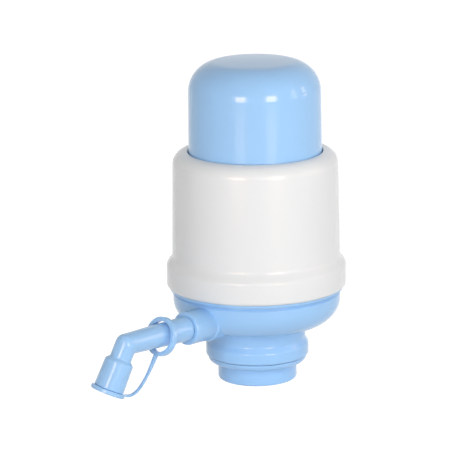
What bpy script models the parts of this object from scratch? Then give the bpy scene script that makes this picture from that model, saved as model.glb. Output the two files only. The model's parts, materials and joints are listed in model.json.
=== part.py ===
"""Hand pump for a drinking-water jug, modelled as its separate mouldings, springs, seals and screws.

Lengths are in metres and +Z is up. The pump stands on the rim of its neck adapter, and its spout
points along -Y. Heights are measured from that rim, and radii from the pump's own axis.
"""

import math

import bmesh
import bpy
from mathutils import Vector

# Fits that every piece shares
FIT_GAP = 0.0003
CUT_OVERRUN = 0.004
MERGE_DISTANCE = 0.00001
CUTTER_TURN_SHARE = 0.33

# How finely round pieces are divided
LARGE_SEGMENTS = 36
TUBE_SEGMENTS = 24
SMALL_SEGMENTS = 16
SCREW_SEGMENTS = 10
CURVE_STEPS = 6
EDGE_STEPS = 3

# Neck adapter, which fits jugs with the small neck and plugs into the collar
ADAPTER_WALL = 0.0019
ADAPTER_RING_HEIGHT = 0.0094
ADAPTER_FOOT_ROUND = 0.0015
ADAPTER_FLANGE_HEIGHT = 0.0035
ADAPTER_SLEEVE_WALL = 0.0015
ADAPTER_SLEEVE_HEIGHT = 0.0092
ADAPTER_ROOF_THICKNESS = 0.0020
ADAPTER_ROOF_LIP = 0.0038
ADAPTER_LEAD_IN = 0.0006

# Neck seals
SMALL_NECK_DEPTH = 0.0153
GASKET_THICKNESS = 0.0017
GASKET_WIDTH = 0.0042
DECK_GASKET_THICKNESS = 0.0010

# Collar, which takes jugs with the large neck
LARGE_NECK_RADIUS = 0.0242
NECK_SIZE_STEP = 0.0052
NECK_WALL = 0.0015
COLLAR_BULGE = 0.0016
COLLAR_STRAIGHT = 0.0062
COLLAR_TAPER = 0.0026
COLLAR_EDGE_ROUND = 0.0011
NECK_ROOF_THICKNESS = 0.0022
AIR_HOLE_RADIUS = 0.0022
AIR_HOLE_CIRCLE = 0.0135
AIR_HOLE_COUNT = 3

# Push button, whose radius sets the casing's
BUTTON_RADIUS = 0.03515
BUTTON_DRAFT = 0.0003
BUTTON_WALL = 0.0022
BUTTON_SKIRT_WALL = 0.0016
BUTTON_RISE = 0.0481
BUTTON_EDGE_ROUND = 0.0165
BUTTON_CROWN = 0.0006
BUTTON_FLAT_RADIUS = 0.0060
BUTTON_FLANGE_OVERLAP = 0.0017
BUTTON_FLANGE_THICKNESS = 0.0020
BUTTON_SKIRT_LENGTH = 0.0153
BUTTON_STROKE = 0.0380

# Casing
BUTTON_CLEARANCE = 0.00075
CASING_WALL = 0.0024
CASING_LIP_ROUND = 0.0007
SHOULDER_WIDTH = 0.0077
SHOULDER_ROUND = 0.0070
CASING_DRAFT = 0.0008
BAND_STEP = 0.00305
BAND_HEIGHT = 0.0126
BAND_EDGE_ROUND = 0.0021
FLARE_HEIGHT = 0.0064
SKIRT_DROP = 0.0086
SNAP_HOLD = 0.0002
SNAP_LAND = 0.0007
SNAP_RAMP = 0.0009

# Bowl of the base
BOWL_SIDE_GAP = 0.0008
BOWL_WALL = 0.0022
BOWL_SHELF = 0.0008
BOWL_CORNER_HEIGHT = 0.0146
BOWL_RIM_HEIGHT = 0.0268
COLLAR_TO_BOWL = 0.0074

# Bosses and screws that hold the base together
BOSS_RADIUS = 0.0040
SCREW_SHANK_RADIUS = 0.0012
SCREW_SHANK_LENGTH = 0.0130
SCREW_HEAD_RADIUS = 0.0027
SCREW_HEAD_HEIGHT = 0.0018
SCREW_RECESS_RADIUS = 0.0013
SCREW_RECESS_DEPTH = 0.0012
SCREW_COUNT = 4

# Deck that closes the bowl and carries the bellows
DECK_THICKNESS = 0.0030
PORT_RADIUS = 0.0017
PORT_CIRCLE = 0.0062
PORT_COUNT = 6

# Umbrella valves
VALVE_STEM_RADIUS = 0.0013
VALVE_BULB_RADIUS = 0.0021
VALVE_BULB_HEIGHT = 0.0022
VALVE_SKIRT_RADIUS = 0.0098
VALVE_SKIRT_THICKNESS = 0.0010
VALVE_SKIRT_ROOT = 0.0016

# Bellows, its clamp ring and the return spring
BELLOWS_SIDE_GAP = 0.0055
BELLOWS_FOLD_DEPTH = 0.0040
BELLOWS_FOLDS = 6
BELLOWS_WALL = 0.0010
BELLOWS_RIM_THICKNESS = 0.0014
BELLOWS_RIM_WIDTH = 0.0034
CLAMP_LIP = 0.0026
CLAMP_THICKNESS = 0.0020
SPRING_RADIUS = 0.0170
SPRING_WIRE_RADIUS = 0.0008
SPRING_TURNS = 8
SPRING_POINTS_PER_TURN = 10

# Push plate inside the button
PUSH_PLATE_THICKNESS = 0.0024
PUSH_PLATE_DEPTH = 0.0003
BREATHER_RADIUS = 0.0011
BREATHER_COUNT = 3

# Outlet stub and the water channel inside the base
OUTLET_RISE = 0.0071
OUTLET_TILT = math.radians(2.2)
STUB_MOUTH_RADIUS = 0.0087
STUB_TAPER = 0.0001
STUB_PROJECTION = 0.01375
STUB_EDGE_ROUND = 0.0005
STUB_ROOT_STEP = 0.0006
STUB_ROOT_REACH = 0.0425
STUB_BORE_RADIUS = 0.0062
WATERWAY_RADIUS = 0.0036
CHANNEL_RISER_RADIUS = 0.0065
CHANNEL_SEAT_RADIUS = 0.0090
CHANNEL_SEAT_THICKNESS = 0.0020
NIPPLE_RADIUS = 0.0053
NIPPLE_LENGTH = 0.0088
NIPPLE_BARB = 0.0004
NIPPLE_BARB_LENGTH = 0.0022

# O-rings on the spout's spigot and on the water channel
O_RING_WIRE_RADIUS = 0.0006
O_RING_GROOVE_DEPTH = 0.0015
O_RING_SETBACK = 0.0040

# Spout
SPIGOT_LENGTH = 0.0147
SPOUT_SHOULDER_RADIUS = 0.0066
SPOUT_TIP_RADIUS = 0.0056
SPOUT_REACH = 0.0458
SPOUT_SHOULDER_ROUND = 0.0002
LEG_NECK_LENGTH = 0.0074
LEG_SHOULDER_LENGTH = 0.0025
LEG_LENGTH = 0.0240
LEG_STEP_RADIUS = 0.0073
LEG_END_RADIUS = 0.00765
LEG_END_ROUND = 0.0004
OUTLET_BORE_RADIUS = 0.0058
OUTLET_BORE_DEPTH = 0.0080
LEG_ANGLE = math.radians(69.5)
SPOUT_SWIVEL = math.radians(-10.0)

# Cap on the outlet, with its strap and ring
CAP_RADIUS = 0.0088
CAP_THICKNESS = 0.0022
CAP_EDGE_ROUND = 0.0005
CAP_PLUG_LENGTH = 0.0055
CAP_PLUG_WALL = 0.0011
CAP_PLUG_LEAD_IN = 0.0005
RING_OUTER_RADIUS = 0.0102
RING_THICKNESS = 0.0017
RING_WIDTH = 0.0026
RING_EDGE_ROUND = 0.0004
RING_DISTANCE = 0.0182
RING_DROP = 0.0008
RING_TILT = math.radians(-12.0)
STRAP_WIDTH = 0.0016
STRAP_THICKNESS = 0.0012
STRAP_ROOT_THICKNESS = 0.0024
STRAP_ROOT_SHARE = 0.16
STRAP_CAP_PULL = 0.0080
STRAP_RING_PULL = 0.0290
STRAP_RING_LEAN = math.radians(27.0)
STRAP_STEPS = 14

# Heights from the foot upward
FLANGE_TOP = ADAPTER_RING_HEIGHT + ADAPTER_FLANGE_HEIGHT
SLEEVE_TOP = FLANGE_TOP + ADAPTER_SLEEVE_HEIGHT
COLLAR_BOTTOM = FLANGE_TOP + FIT_GAP
COLLAR_TOP = COLLAR_BOTTOM + COLLAR_STRAIGHT + COLLAR_TAPER
NECK_ROOF = SLEEVE_TOP + GASKET_THICKNESS + 2 * FIT_GAP
ADAPTER_ROOF = SMALL_NECK_DEPTH + GASKET_THICKNESS + FIT_GAP
BOWL_UNDERSIDE = COLLAR_TOP + COLLAR_TO_BOWL
BOWL_RIM = BOWL_UNDERSIDE + BOWL_RIM_HEIGHT
DECK_BOTTOM = BOWL_RIM + DECK_GASKET_THICKNESS + 2 * FIT_GAP
DECK_TOP = DECK_BOTTOM + DECK_THICKNESS
CLAMP_STEP = DECK_TOP + BELLOWS_RIM_THICKNESS + 2 * FIT_GAP
CLAMP_TOP = CLAMP_STEP + CLAMP_THICKNESS
BUTTON_BOTTOM = CLAMP_TOP + FIT_GAP + BUTTON_STROKE
BUTTON_FLANGE_BOTTOM = BUTTON_BOTTOM + BUTTON_SKIRT_LENGTH
FLANGE_REST = BUTTON_FLANGE_BOTTOM + BUTTON_FLANGE_THICKNESS
SHOULDER_UNDERSIDE = FLANGE_REST + 2 * FIT_GAP
CASING_TOP = SHOULDER_UNDERSIDE + CASING_WALL
CASING_BOTTOM = DECK_BOTTOM - SKIRT_DROP
BUTTON_TOP = CASING_TOP + BUTTON_RISE
PUSH_PLATE_TOP = FLANGE_REST - PUSH_PLATE_DEPTH
PUSH_PLATE_BOTTOM = PUSH_PLATE_TOP - PUSH_PLATE_THICKNESS
OUTLET_HEIGHT = BOWL_UNDERSIDE + OUTLET_RISE

# The small neck is a step narrower than the large one
SMALL_NECK_RADIUS = LARGE_NECK_RADIUS - NECK_SIZE_STEP

# Radii from the button outward
OPENING_RADIUS = BUTTON_RADIUS + BUTTON_CLEARANCE
CASING_TOP_RADIUS = OPENING_RADIUS + SHOULDER_WIDTH
CASING_RADIUS = CASING_TOP_RADIUS + CASING_DRAFT
BAND_RADIUS = CASING_RADIUS + BAND_STEP
SKIRT_BORE = BAND_RADIUS - CASING_WALL
DECK_RADIUS = SKIRT_BORE - FIT_GAP
SNAP_RADIUS = DECK_RADIUS - SNAP_HOLD
BOWL_RADIUS = SKIRT_BORE - BOWL_SIDE_GAP
CASING_BORE = CASING_RADIUS - CASING_WALL
SCREW_CIRCLE = (BUTTON_RADIUS + CASING_BORE) / 2
BUTTON_FLANGE_RADIUS = OPENING_RADIUS + BUTTON_FLANGE_OVERLAP
BUTTON_SKIRT_BORE = BUTTON_RADIUS - BUTTON_SKIRT_WALL
PUSH_PLATE_RADIUS = BUTTON_SKIRT_BORE - FIT_GAP
BELLOWS_RADIUS = BUTTON_SKIRT_BORE - BELLOWS_SIDE_GAP
NECK_RADIUS = LARGE_NECK_RADIUS + NECK_WALL
COLLAR_RADIUS = NECK_RADIUS + COLLAR_BULGE
ADAPTER_FLANGE_RADIUS = COLLAR_RADIUS - COLLAR_EDGE_ROUND
SLEEVE_RADIUS = LARGE_NECK_RADIUS - FIT_GAP
ADAPTER_RING_RADIUS = SMALL_NECK_RADIUS + ADAPTER_WALL
BOWL_CORNER_CENTRE = NECK_RADIUS + BOWL_SHELF

# Distances along the outlet, from the pump's axis
STUB_MOUTH = BOWL_RADIUS + STUB_PROJECTION
SPOUT_SHOULDER = STUB_MOUTH + FIT_GAP
SPIGOT_END = SPOUT_SHOULDER - SPIGOT_LENGTH
CHANNEL_END = SPIGOT_END - FIT_GAP
SPIGOT_RADIUS = STUB_BORE_RADIUS - FIT_GAP
ELBOW_REACH = STUB_MOUTH + SPOUT_REACH
CAP_FACE = LEG_LENGTH + FIT_GAP
LEG_DROP = math.sin(LEG_ANGLE) * math.cos(SPOUT_SWIVEL)
LEG_OUTWARD = math.cos(LEG_ANGLE) * math.cos(OUTLET_TILT) + LEG_DROP * math.sin(OUTLET_TILT)
CAP_REACH = (
    ELBOW_REACH * math.cos(OUTLET_TILT)
    + (CAP_FACE + CAP_THICKNESS - CAP_EDGE_ROUND) * LEG_OUTWARD
    + CAP_RADIUS * math.sqrt(1 - LEG_OUTWARD**2)
)

# The footprint's centre is the model's origin, so the pump's axis stands behind it
PUMP_AXIS_Y = (CAP_REACH - BAND_RADIUS) / 2


def arc(centre_r, centre_z, radius, start, end, steps, radius_z=None):
    """Points along an arc, or an ellipse's, from one angle to another in degrees."""
    if radius_z is None:
        radius_z = radius
    points = []
    for step in range(steps + 1):
        angle = math.radians(start + (end - start) * step / steps)
        points.append((centre_r + radius * math.cos(angle), centre_z + radius_z * math.sin(angle)))
    return points


def ease(start_r, start_z, end_r, end_z, steps):
    """Points along an S-shaped change of radius that starts and ends upright."""
    points = []
    for step in range(steps + 1):
        share = step / steps
        blend = share * share * (3 - 2 * share)
        points.append((start_r + (end_r - start_r) * blend, start_z + (end_z - start_z) * share))
    return points


def new_collection(name):
    collection = bpy.data.collections.new(name)
    bpy.context.scene.collection.children.link(collection)
    return collection


def new_material(name, colour, roughness, metallic=0.0):
    material = bpy.data.materials.new(name)
    material.use_nodes = True
    shader = material.node_tree.nodes["Principled BSDF"]
    shader.inputs["Base Color"].default_value = (*colour, 1.0)
    shader.inputs["Roughness"].default_value = roughness
    shader.inputs["Metallic"].default_value = metallic
    return material


def new_empty(name, parent=None, location=(0, 0, 0), rotation=(0, 0, 0)):
    empty = bpy.data.objects.new(name, None)
    empty.parent = parent
    empty.location = location
    empty.rotation_euler = rotation
    PARTS.objects.link(empty)
    return empty


def add_object(name, mesh, frame, material=None, location=(0, 0, 0), rotation=(0, 0, 0)):
    """Place a mesh in a frame, as a part if it has a material and as a cutter if not."""
    piece = bpy.data.objects.new(name, mesh)
    piece.parent = frame
    piece.location = location
    piece.rotation_euler = rotation
    if material is None:
        CUTTERS.objects.link(piece)
        piece.hide_render = True
        piece.display_type = "WIRE"
    else:
        if not mesh.materials:
            mesh.materials.append(material)
        PARTS.objects.link(piece)
    return piece


def turned(name, outline, segments, frame, material=None, location=(0, 0, 0), rotation=(0, 0, 0)):
    """Turn an outline of (radius, height) points about its frame's Z axis.

    The outline runs down the outer side. One that starts and ends on the axis makes a solid
    piece, and any other is closed into a ring.
    """
    mesh = bpy.data.meshes.new(name)
    points = [(radius, 0, height) for radius, height in outline]
    edges = [(index, index + 1) for index in range(len(points) - 1)]
    if outline[0][0] > 0:
        edges.append((len(points) - 1, 0))
    mesh.from_pydata(points, edges, [])
    piece = add_object(name, mesh, frame, material, location, rotation)
    screw = piece.modifiers.new("Turn", "SCREW")
    screw.axis = "Z"
    screw.steps = segments
    screw.render_steps = segments
    screw.use_merge_vertices = True
    screw.merge_threshold = MERGE_DISTANCE
    screw.use_smooth_shade = True
    return piece


def cutter(name, radius, low, high, segments, frame, location=(0, 0, 0)):
    """An upright cylinder to cut with, whose corners miss the facets of what it cuts."""
    mesh = bpy.data.meshes.new(name)
    shape = bmesh.new()
    bmesh.ops.create_cone(
        shape, cap_ends=True, segments=segments, radius1=radius, radius2=radius, depth=high - low
    )
    bmesh.ops.translate(shape, verts=shape.verts, vec=(0, 0, (low + high) / 2))
    shape.to_mesh(mesh)
    shape.free()
    turn = 2 * math.pi / segments * CUTTER_TURN_SHARE
    return add_object(name, mesh, frame, location=location, rotation=(0, 0, turn))


def boolean(piece, other, operation):
    modifier = piece.modifiers.new(operation.title(), "BOOLEAN")
    modifier.operation = operation
    modifier.solver = "EXACT"
    modifier.object = other


def cut(piece, *cutters):
    for cutter in cutters:
        boolean(piece, cutter, "DIFFERENCE")


def join(piece, *others):
    for other in others:
        boolean(piece, other, "UNION")


def applied_mesh(piece):
    """The mesh of a piece with its modifiers applied, in the piece's own frame."""
    bpy.context.view_layer.update()
    return bpy.data.meshes.new_from_object(piece.evaluated_get(bpy.context.evaluated_depsgraph_get()))


def around(count, radius, first_angle=0.0):
    """Places spaced evenly on a circle."""
    turns = [first_angle + 2 * math.pi * index / count for index in range(count)]
    return [(radius * math.cos(turn), radius * math.sin(turn), 0) for turn in turns]


def screw_places():
    return around(SCREW_COUNT, SCREW_CIRCLE, math.pi / SCREW_COUNT)


def air_hole_places():
    return around(AIR_HOLE_COUNT, AIR_HOLE_CIRCLE, math.pi / 2)


def make_neck_adapter(frame, material):
    """Two nested sleeves joined by a flange: the inner takes the neck, the outer fills the collar."""
    ring = ADAPTER_RING_RADIUS
    round_foot = min(ADAPTER_FOOT_ROUND, ADAPTER_WALL)
    sleeve_bore = SLEEVE_RADIUS - ADAPTER_SLEEVE_WALL
    roof_top = ADAPTER_ROOF + ADAPTER_ROOF_THICKNESS
    flange = ADAPTER_FLANGE_RADIUS
    flange_round = min(ADAPTER_FLANGE_HEIGHT, flange - ring) - FIT_GAP
    outline = [(SLEEVE_RADIUS - ADAPTER_LEAD_IN, SLEEVE_TOP), (SLEEVE_RADIUS, SLEEVE_TOP - ADAPTER_LEAD_IN)]
    outline += [(SLEEVE_RADIUS, FLANGE_TOP), (flange, FLANGE_TOP)]
    outline += arc(
        flange - flange_round, ADAPTER_RING_HEIGHT + flange_round, flange_round, 0, -90, EDGE_STEPS
    )
    outline += [(ring, ADAPTER_RING_HEIGHT)]
    outline += arc(ring - round_foot, round_foot, round_foot, 0, -90, EDGE_STEPS)
    outline += [(SMALL_NECK_RADIUS, 0), (SMALL_NECK_RADIUS, ADAPTER_ROOF)]
    outline += [(SMALL_NECK_RADIUS - ADAPTER_ROOF_LIP, ADAPTER_ROOF)]
    outline += [(SMALL_NECK_RADIUS - ADAPTER_ROOF_LIP, roof_top), (ring, roof_top)]
    outline += [(ring, FLANGE_TOP), (sleeve_bore, FLANGE_TOP), (sleeve_bore, SLEEVE_TOP)]
    return turned("neck_adapter", outline, LARGE_SEGMENTS, frame, material)


def flat_ring(outer_radius, inner_radius, top, bottom):
    """Outline of a flat washer."""
    return [(outer_radius, top), (outer_radius, bottom), (inner_radius, bottom), (inner_radius, top)]


def make_gasket(name, outer_radius, bottom, frame, material):
    outline = flat_ring(outer_radius, outer_radius - GASKET_WIDTH, bottom + GASKET_THICKNESS, bottom)
    return turned(name, outline, LARGE_SEGMENTS, frame, material)


def make_deck_gasket(frame, material):
    """Seal between the bowl's rim and the deck."""
    bottom = BOWL_RIM + FIT_GAP
    outline = flat_ring(BOWL_RADIUS, BOWL_RADIUS - BOWL_WALL, bottom + DECK_GASKET_THICKNESS, bottom)
    return turned("deck_gasket", outline, LARGE_SEGMENTS, frame, material)


def bowl_curve(inset):
    """The bowl's rounded underside, drawn in from its outer surface by an inset."""
    corner_top = BOWL_UNDERSIDE + BOWL_CORNER_HEIGHT
    width = BOWL_RADIUS - BOWL_CORNER_CENTRE - inset
    depth = BOWL_CORNER_HEIGHT - inset
    return arc(BOWL_CORNER_CENTRE, corner_top, width, 0, -90, CURVE_STEPS, radius_z=depth)


def make_base_bowl(frame, outlet, material):
    """Bowl, collar and outlet stub in one moulding, with screw bosses inside."""
    edge = COLLAR_EDGE_ROUND
    outline = [(0, BOWL_RIM), (BOWL_RADIUS, BOWL_RIM)] + bowl_curve(0)
    outline += [(NECK_RADIUS, BOWL_UNDERSIDE), (NECK_RADIUS, COLLAR_TOP)]
    outline += ease(NECK_RADIUS, COLLAR_TOP, COLLAR_RADIUS, COLLAR_TOP - COLLAR_TAPER, EDGE_STEPS)[1:]
    outline += arc(COLLAR_RADIUS - edge, COLLAR_BOTTOM + edge, edge, 0, -90, EDGE_STEPS)
    outline += [(LARGE_NECK_RADIUS, COLLAR_BOTTOM), (LARGE_NECK_RADIUS, NECK_ROOF), (0, NECK_ROOF)]
    base = turned("base_bowl", outline, LARGE_SEGMENTS, frame, material)

    roof_top = NECK_ROOF + NECK_ROOF_THICKNESS
    floor = BOWL_UNDERSIDE + BOWL_WALL
    cavity_top = BOWL_RIM + CUT_OVERRUN
    hollow = [(0, cavity_top), (BOWL_RADIUS - BOWL_WALL, cavity_top)] + bowl_curve(BOWL_WALL)
    hollow += [(LARGE_NECK_RADIUS, floor), (LARGE_NECK_RADIUS, roof_top), (0, roof_top)]
    cavity = turned("bowl_cavity", hollow, LARGE_SEGMENTS, frame)
    for index, place in enumerate(screw_places()):
        name = f"boss_{index + 1}"
        high = cavity_top + CUT_OVERRUN
        boss = cutter(name, BOSS_RADIUS, BOWL_UNDERSIDE, high, SMALL_SEGMENTS, frame, location=place)
        cut(cavity, boss)
    cut(base, cavity)

    root_radius = STUB_MOUTH_RADIUS + STUB_TAPER
    root_collar = root_radius + STUB_ROOT_STEP
    stub_start = LARGE_NECK_RADIUS + NECK_WALL / 2
    rim = STUB_EDGE_ROUND
    stub = [(STUB_MOUTH_RADIUS - rim, STUB_MOUTH), (STUB_MOUTH_RADIUS, STUB_MOUTH - rim)]
    stub += [(root_radius, STUB_ROOT_REACH), (root_collar, STUB_ROOT_REACH - STUB_ROOT_STEP)]
    stub += [(root_collar, stub_start), (STUB_BORE_RADIUS, stub_start), (STUB_BORE_RADIUS, STUB_MOUTH)]
    wall_hole_radius = (STUB_BORE_RADIUS + STUB_MOUTH_RADIUS) / 2
    hole_start = LARGE_NECK_RADIUS - CUT_OVERRUN
    cut(base, cutter("stub_hole", wall_hole_radius, hole_start, STUB_MOUTH, TUBE_SEGMENTS, outlet))
    join(base, turned("stub_body", stub, TUBE_SEGMENTS, outlet))

    roof_low = NECK_ROOF - CUT_OVERRUN
    roof_high = roof_top + CUT_OVERRUN
    nipple_hole = cutter(
        "nipple_hole", NIPPLE_RADIUS + NIPPLE_BARB + FIT_GAP, roof_low, roof_high, SMALL_SEGMENTS, frame
    )
    cut(base, nipple_hole)
    for index, place in enumerate(air_hole_places()):
        name = f"air_hole_{index + 1}"
        hole = cutter(name, AIR_HOLE_RADIUS, roof_low, roof_high, SCREW_SEGMENTS, frame, location=place)
        cut(base, hole)
    for index, place in enumerate(screw_places()):
        name = f"boss_pilot_{index + 1}"
        low = CLAMP_TOP - SCREW_SHANK_LENGTH
        radius = SCREW_SHANK_RADIUS + FIT_GAP
        cut(base, cutter(name, radius, low, cavity_top, SCREW_SEGMENTS, frame, location=place))
    return base


def make_water_channel(frame, outlet, material):
    """Bent channel from the dip-tube nipple in the neck to the spout in the stub."""
    groove_low, groove_high = o_ring_groove(CHANNEL_END - O_RING_SETBACK)
    groove_radius = SPIGOT_RADIUS - O_RING_GROOVE_DEPTH
    barrel = [(0, CHANNEL_END), (SPIGOT_RADIUS, CHANNEL_END), (SPIGOT_RADIUS, groove_high)]
    barrel += [(groove_radius, groove_high), (groove_radius, groove_low), (SPIGOT_RADIUS, groove_low)]
    barrel += [(SPIGOT_RADIUS, 0), (0, 0)]
    channel = turned("water_channel", barrel, TUBE_SEGMENTS, outlet, material)

    seat = NECK_ROOF + NECK_ROOF_THICKNESS + FIT_GAP
    seat_top = seat + CHANNEL_SEAT_THICKNESS
    riser_top = OUTLET_HEIGHT + CHANNEL_RISER_RADIUS
    nipple_end = NECK_ROOF - NIPPLE_LENGTH
    barb = NIPPLE_RADIUS + NIPPLE_BARB
    riser = [(0, riser_top), (CHANNEL_RISER_RADIUS, riser_top), (CHANNEL_RISER_RADIUS, seat_top)]
    riser += [(CHANNEL_SEAT_RADIUS, seat_top), (CHANNEL_SEAT_RADIUS, seat), (NIPPLE_RADIUS, seat)]
    riser += [(NIPPLE_RADIUS, nipple_end + NIPPLE_BARB_LENGTH), (barb, nipple_end + NIPPLE_BARB_LENGTH)]
    riser += [(NIPPLE_RADIUS, nipple_end), (0, nipple_end)]
    join(channel, turned("channel_riser", riser, TUBE_SEGMENTS, frame))

    bore = WATERWAY_RADIUS
    past_end = CHANNEL_END + CUT_OVERRUN
    upright = cutter("riser_bore", bore, nipple_end - CUT_OVERRUN, OUTLET_HEIGHT, SMALL_SEGMENTS, frame)
    level = cutter("barrel_bore", bore + FIT_GAP, -bore / 2, past_end, SMALL_SEGMENTS, outlet)
    cut(channel, upright, level)
    return channel


def o_ring_groove(centre):
    """The two ends of an O-ring's groove along its spigot."""
    half_width = O_RING_WIRE_RADIUS + FIT_GAP
    return centre - half_width, centre + half_width


def make_o_ring(name, centre, frame, material):
    middle = SPIGOT_RADIUS - O_RING_WIRE_RADIUS
    outline = arc(middle, centre, O_RING_WIRE_RADIUS, 90, -210, CURVE_STEPS - 1)
    return turned(name, outline, TUBE_SEGMENTS, frame, material)


def make_base_deck(frame, material):
    outline = [(0, DECK_TOP), (DECK_RADIUS, DECK_TOP), (DECK_RADIUS, DECK_BOTTOM), (0, DECK_BOTTOM)]
    deck = turned("base_deck", outline, LARGE_SEGMENTS, frame, material)
    low = DECK_BOTTOM - CUT_OVERRUN
    high = DECK_TOP + CUT_OVERRUN
    cut_valve_holes(deck, "deck", low, high, frame)
    for index, place in enumerate(screw_places()):
        name = f"deck_screw_hole_{index + 1}"
        radius = SCREW_SHANK_RADIUS + FIT_GAP
        cut(deck, cutter(name, radius, low, high, SCREW_SEGMENTS, frame, location=place))
    return deck


def cut_valve_holes(piece, prefix, low, high, frame):
    """The stem hole and the ring of air ports that an umbrella valve covers."""
    stem_radius = VALVE_STEM_RADIUS + FIT_GAP
    cut(piece, cutter(f"{prefix}_stem_hole", stem_radius, low, high, SCREW_SEGMENTS, frame))
    for index, place in enumerate(around(PORT_COUNT, PORT_CIRCLE)):
        name = f"{prefix}_port_{index + 1}"
        cut(piece, cutter(name, PORT_RADIUS, low, high, SCREW_SEGMENTS, frame, location=place))


def make_valve(name, carrier_bottom, carrier_thickness, frame, material):
    """Umbrella valve under a plate: its skirt covers the ports and its bulb sits on top."""
    skirt_top = carrier_bottom - FIT_GAP
    skirt_bottom = skirt_top - VALVE_SKIRT_THICKNESS
    bulb_bottom = carrier_bottom + carrier_thickness + FIT_GAP
    bulb_top = bulb_bottom + VALVE_BULB_HEIGHT
    outline = [(0, bulb_top), (VALVE_STEM_RADIUS, bulb_top), (VALVE_BULB_RADIUS, bulb_bottom)]
    outline += [(VALVE_STEM_RADIUS, bulb_bottom), (VALVE_STEM_RADIUS, skirt_top)]
    outline += [(VALVE_SKIRT_RADIUS, skirt_top), (VALVE_SKIRT_RADIUS, (skirt_top + skirt_bottom) / 2)]
    outline += [(VALVE_SKIRT_ROOT + VALVE_STEM_RADIUS, skirt_bottom), (0, skirt_bottom)]
    return turned(name, outline, SMALL_SEGMENTS, frame, material)


def make_bellows(frame, material):
    """Folded tube that is open at both ends, with a flat rim at each."""
    bottom = DECK_TOP + FIT_GAP
    top = PUSH_PLATE_BOTTOM - FIT_GAP
    peak = BELLOWS_RADIUS
    valley = BELLOWS_RADIUS - BELLOWS_FOLD_DEPTH
    wall = BELLOWS_WALL
    lower_rim_radius = peak + BELLOWS_RIM_WIDTH
    folds_low = bottom + BELLOWS_RIM_THICKNESS
    folds_high = top - BELLOWS_RIM_THICKNESS
    pitch = (folds_high - folds_low) / BELLOWS_FOLDS
    outer = [(peak, top), (peak, folds_high), (valley, folds_high)]
    inner = [(valley - wall, top), (valley - wall, folds_high)]
    for fold in range(BELLOWS_FOLDS):
        fold_top = folds_high - fold * pitch
        outer += [(peak, fold_top - pitch / 2), (valley, fold_top - pitch)]
        inner += [(peak - wall, fold_top - pitch / 2), (valley - wall, fold_top - pitch)]
    outer += [(lower_rim_radius, folds_low), (lower_rim_radius, bottom), (valley - wall, bottom)]
    return turned("bellows", outer + inner[::-1], TUBE_SEGMENTS, frame, material)


def make_clamp_ring(frame, material):
    """Ring that clamps the bellows' lower rim to the deck, with a step over the rim."""
    rim_edge = BELLOWS_RADIUS + BELLOWS_RIM_WIDTH + FIT_GAP
    inner = BELLOWS_RADIUS + BELLOWS_RIM_WIDTH - CLAMP_LIP
    outer = CASING_BORE - FIT_GAP
    low = DECK_TOP + FIT_GAP
    outline = [(outer, CLAMP_TOP), (outer, low), (rim_edge, low)]
    outline += [(rim_edge, CLAMP_STEP), (inner, CLAMP_STEP), (inner, CLAMP_TOP)]
    ring = turned("bellows_clamp_ring", outline, LARGE_SEGMENTS, frame, material)
    for index, place in enumerate(screw_places()):
        name = f"clamp_screw_hole_{index + 1}"
        bottom, top = low - CUT_OVERRUN, CLAMP_TOP + CUT_OVERRUN
        radius = SCREW_SHANK_RADIUS + FIT_GAP
        cut(ring, cutter(name, radius, bottom, top, SCREW_SEGMENTS, frame, location=place))
    return ring


def make_screws(frame, material):
    """Pan-head screws that hold the clamp ring and the deck to the bosses."""
    head_low = CLAMP_TOP + FIT_GAP
    head_top = head_low + SCREW_HEAD_HEIGHT
    tip = head_low - SCREW_SHANK_LENGTH
    crown_radius = (SCREW_HEAD_RADIUS + SCREW_RECESS_RADIUS) / 2
    outline = [(0, head_top - SCREW_RECESS_DEPTH), (SCREW_RECESS_RADIUS, head_top), (crown_radius, head_top)]
    outline += [(SCREW_HEAD_RADIUS, (head_low + head_top) / 2), (SCREW_HEAD_RADIUS, head_low)]
    outline += [(SCREW_SHANK_RADIUS, head_low), (SCREW_SHANK_RADIUS, tip + SCREW_SHANK_RADIUS), (0, tip)]
    for index, place in enumerate(screw_places()):
        turned(f"base_screw_{index + 1}", outline, SCREW_SEGMENTS, frame, material, location=place)


def make_return_spring(frame, material):
    """Steel coil inside the bellows, from the deck to the push plate."""
    low = DECK_TOP + FIT_GAP + SPRING_WIRE_RADIUS
    high = PUSH_PLATE_BOTTOM - FIT_GAP - SPRING_WIRE_RADIUS
    count = SPRING_TURNS * SPRING_POINTS_PER_TURN
    curve = bpy.data.curves.new("return_spring", "CURVE")
    curve.dimensions = "3D"
    curve.bevel_depth = SPRING_WIRE_RADIUS
    curve.bevel_resolution = 1
    curve.use_fill_caps = True
    spline = curve.splines.new("POLY")
    spline.points.add(count)
    for index, point in enumerate(spline.points):
        turn = 2 * math.pi * index / SPRING_POINTS_PER_TURN
        height = low + (high - low) * index / count
        point.co = (SPRING_RADIUS * math.cos(turn), SPRING_RADIUS * math.sin(turn), height, 1)
    curve.materials.append(material)
    spring = bpy.data.objects.new("return_spring", curve)
    spring.parent = frame
    PARTS.objects.link(spring)
    return spring


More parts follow.
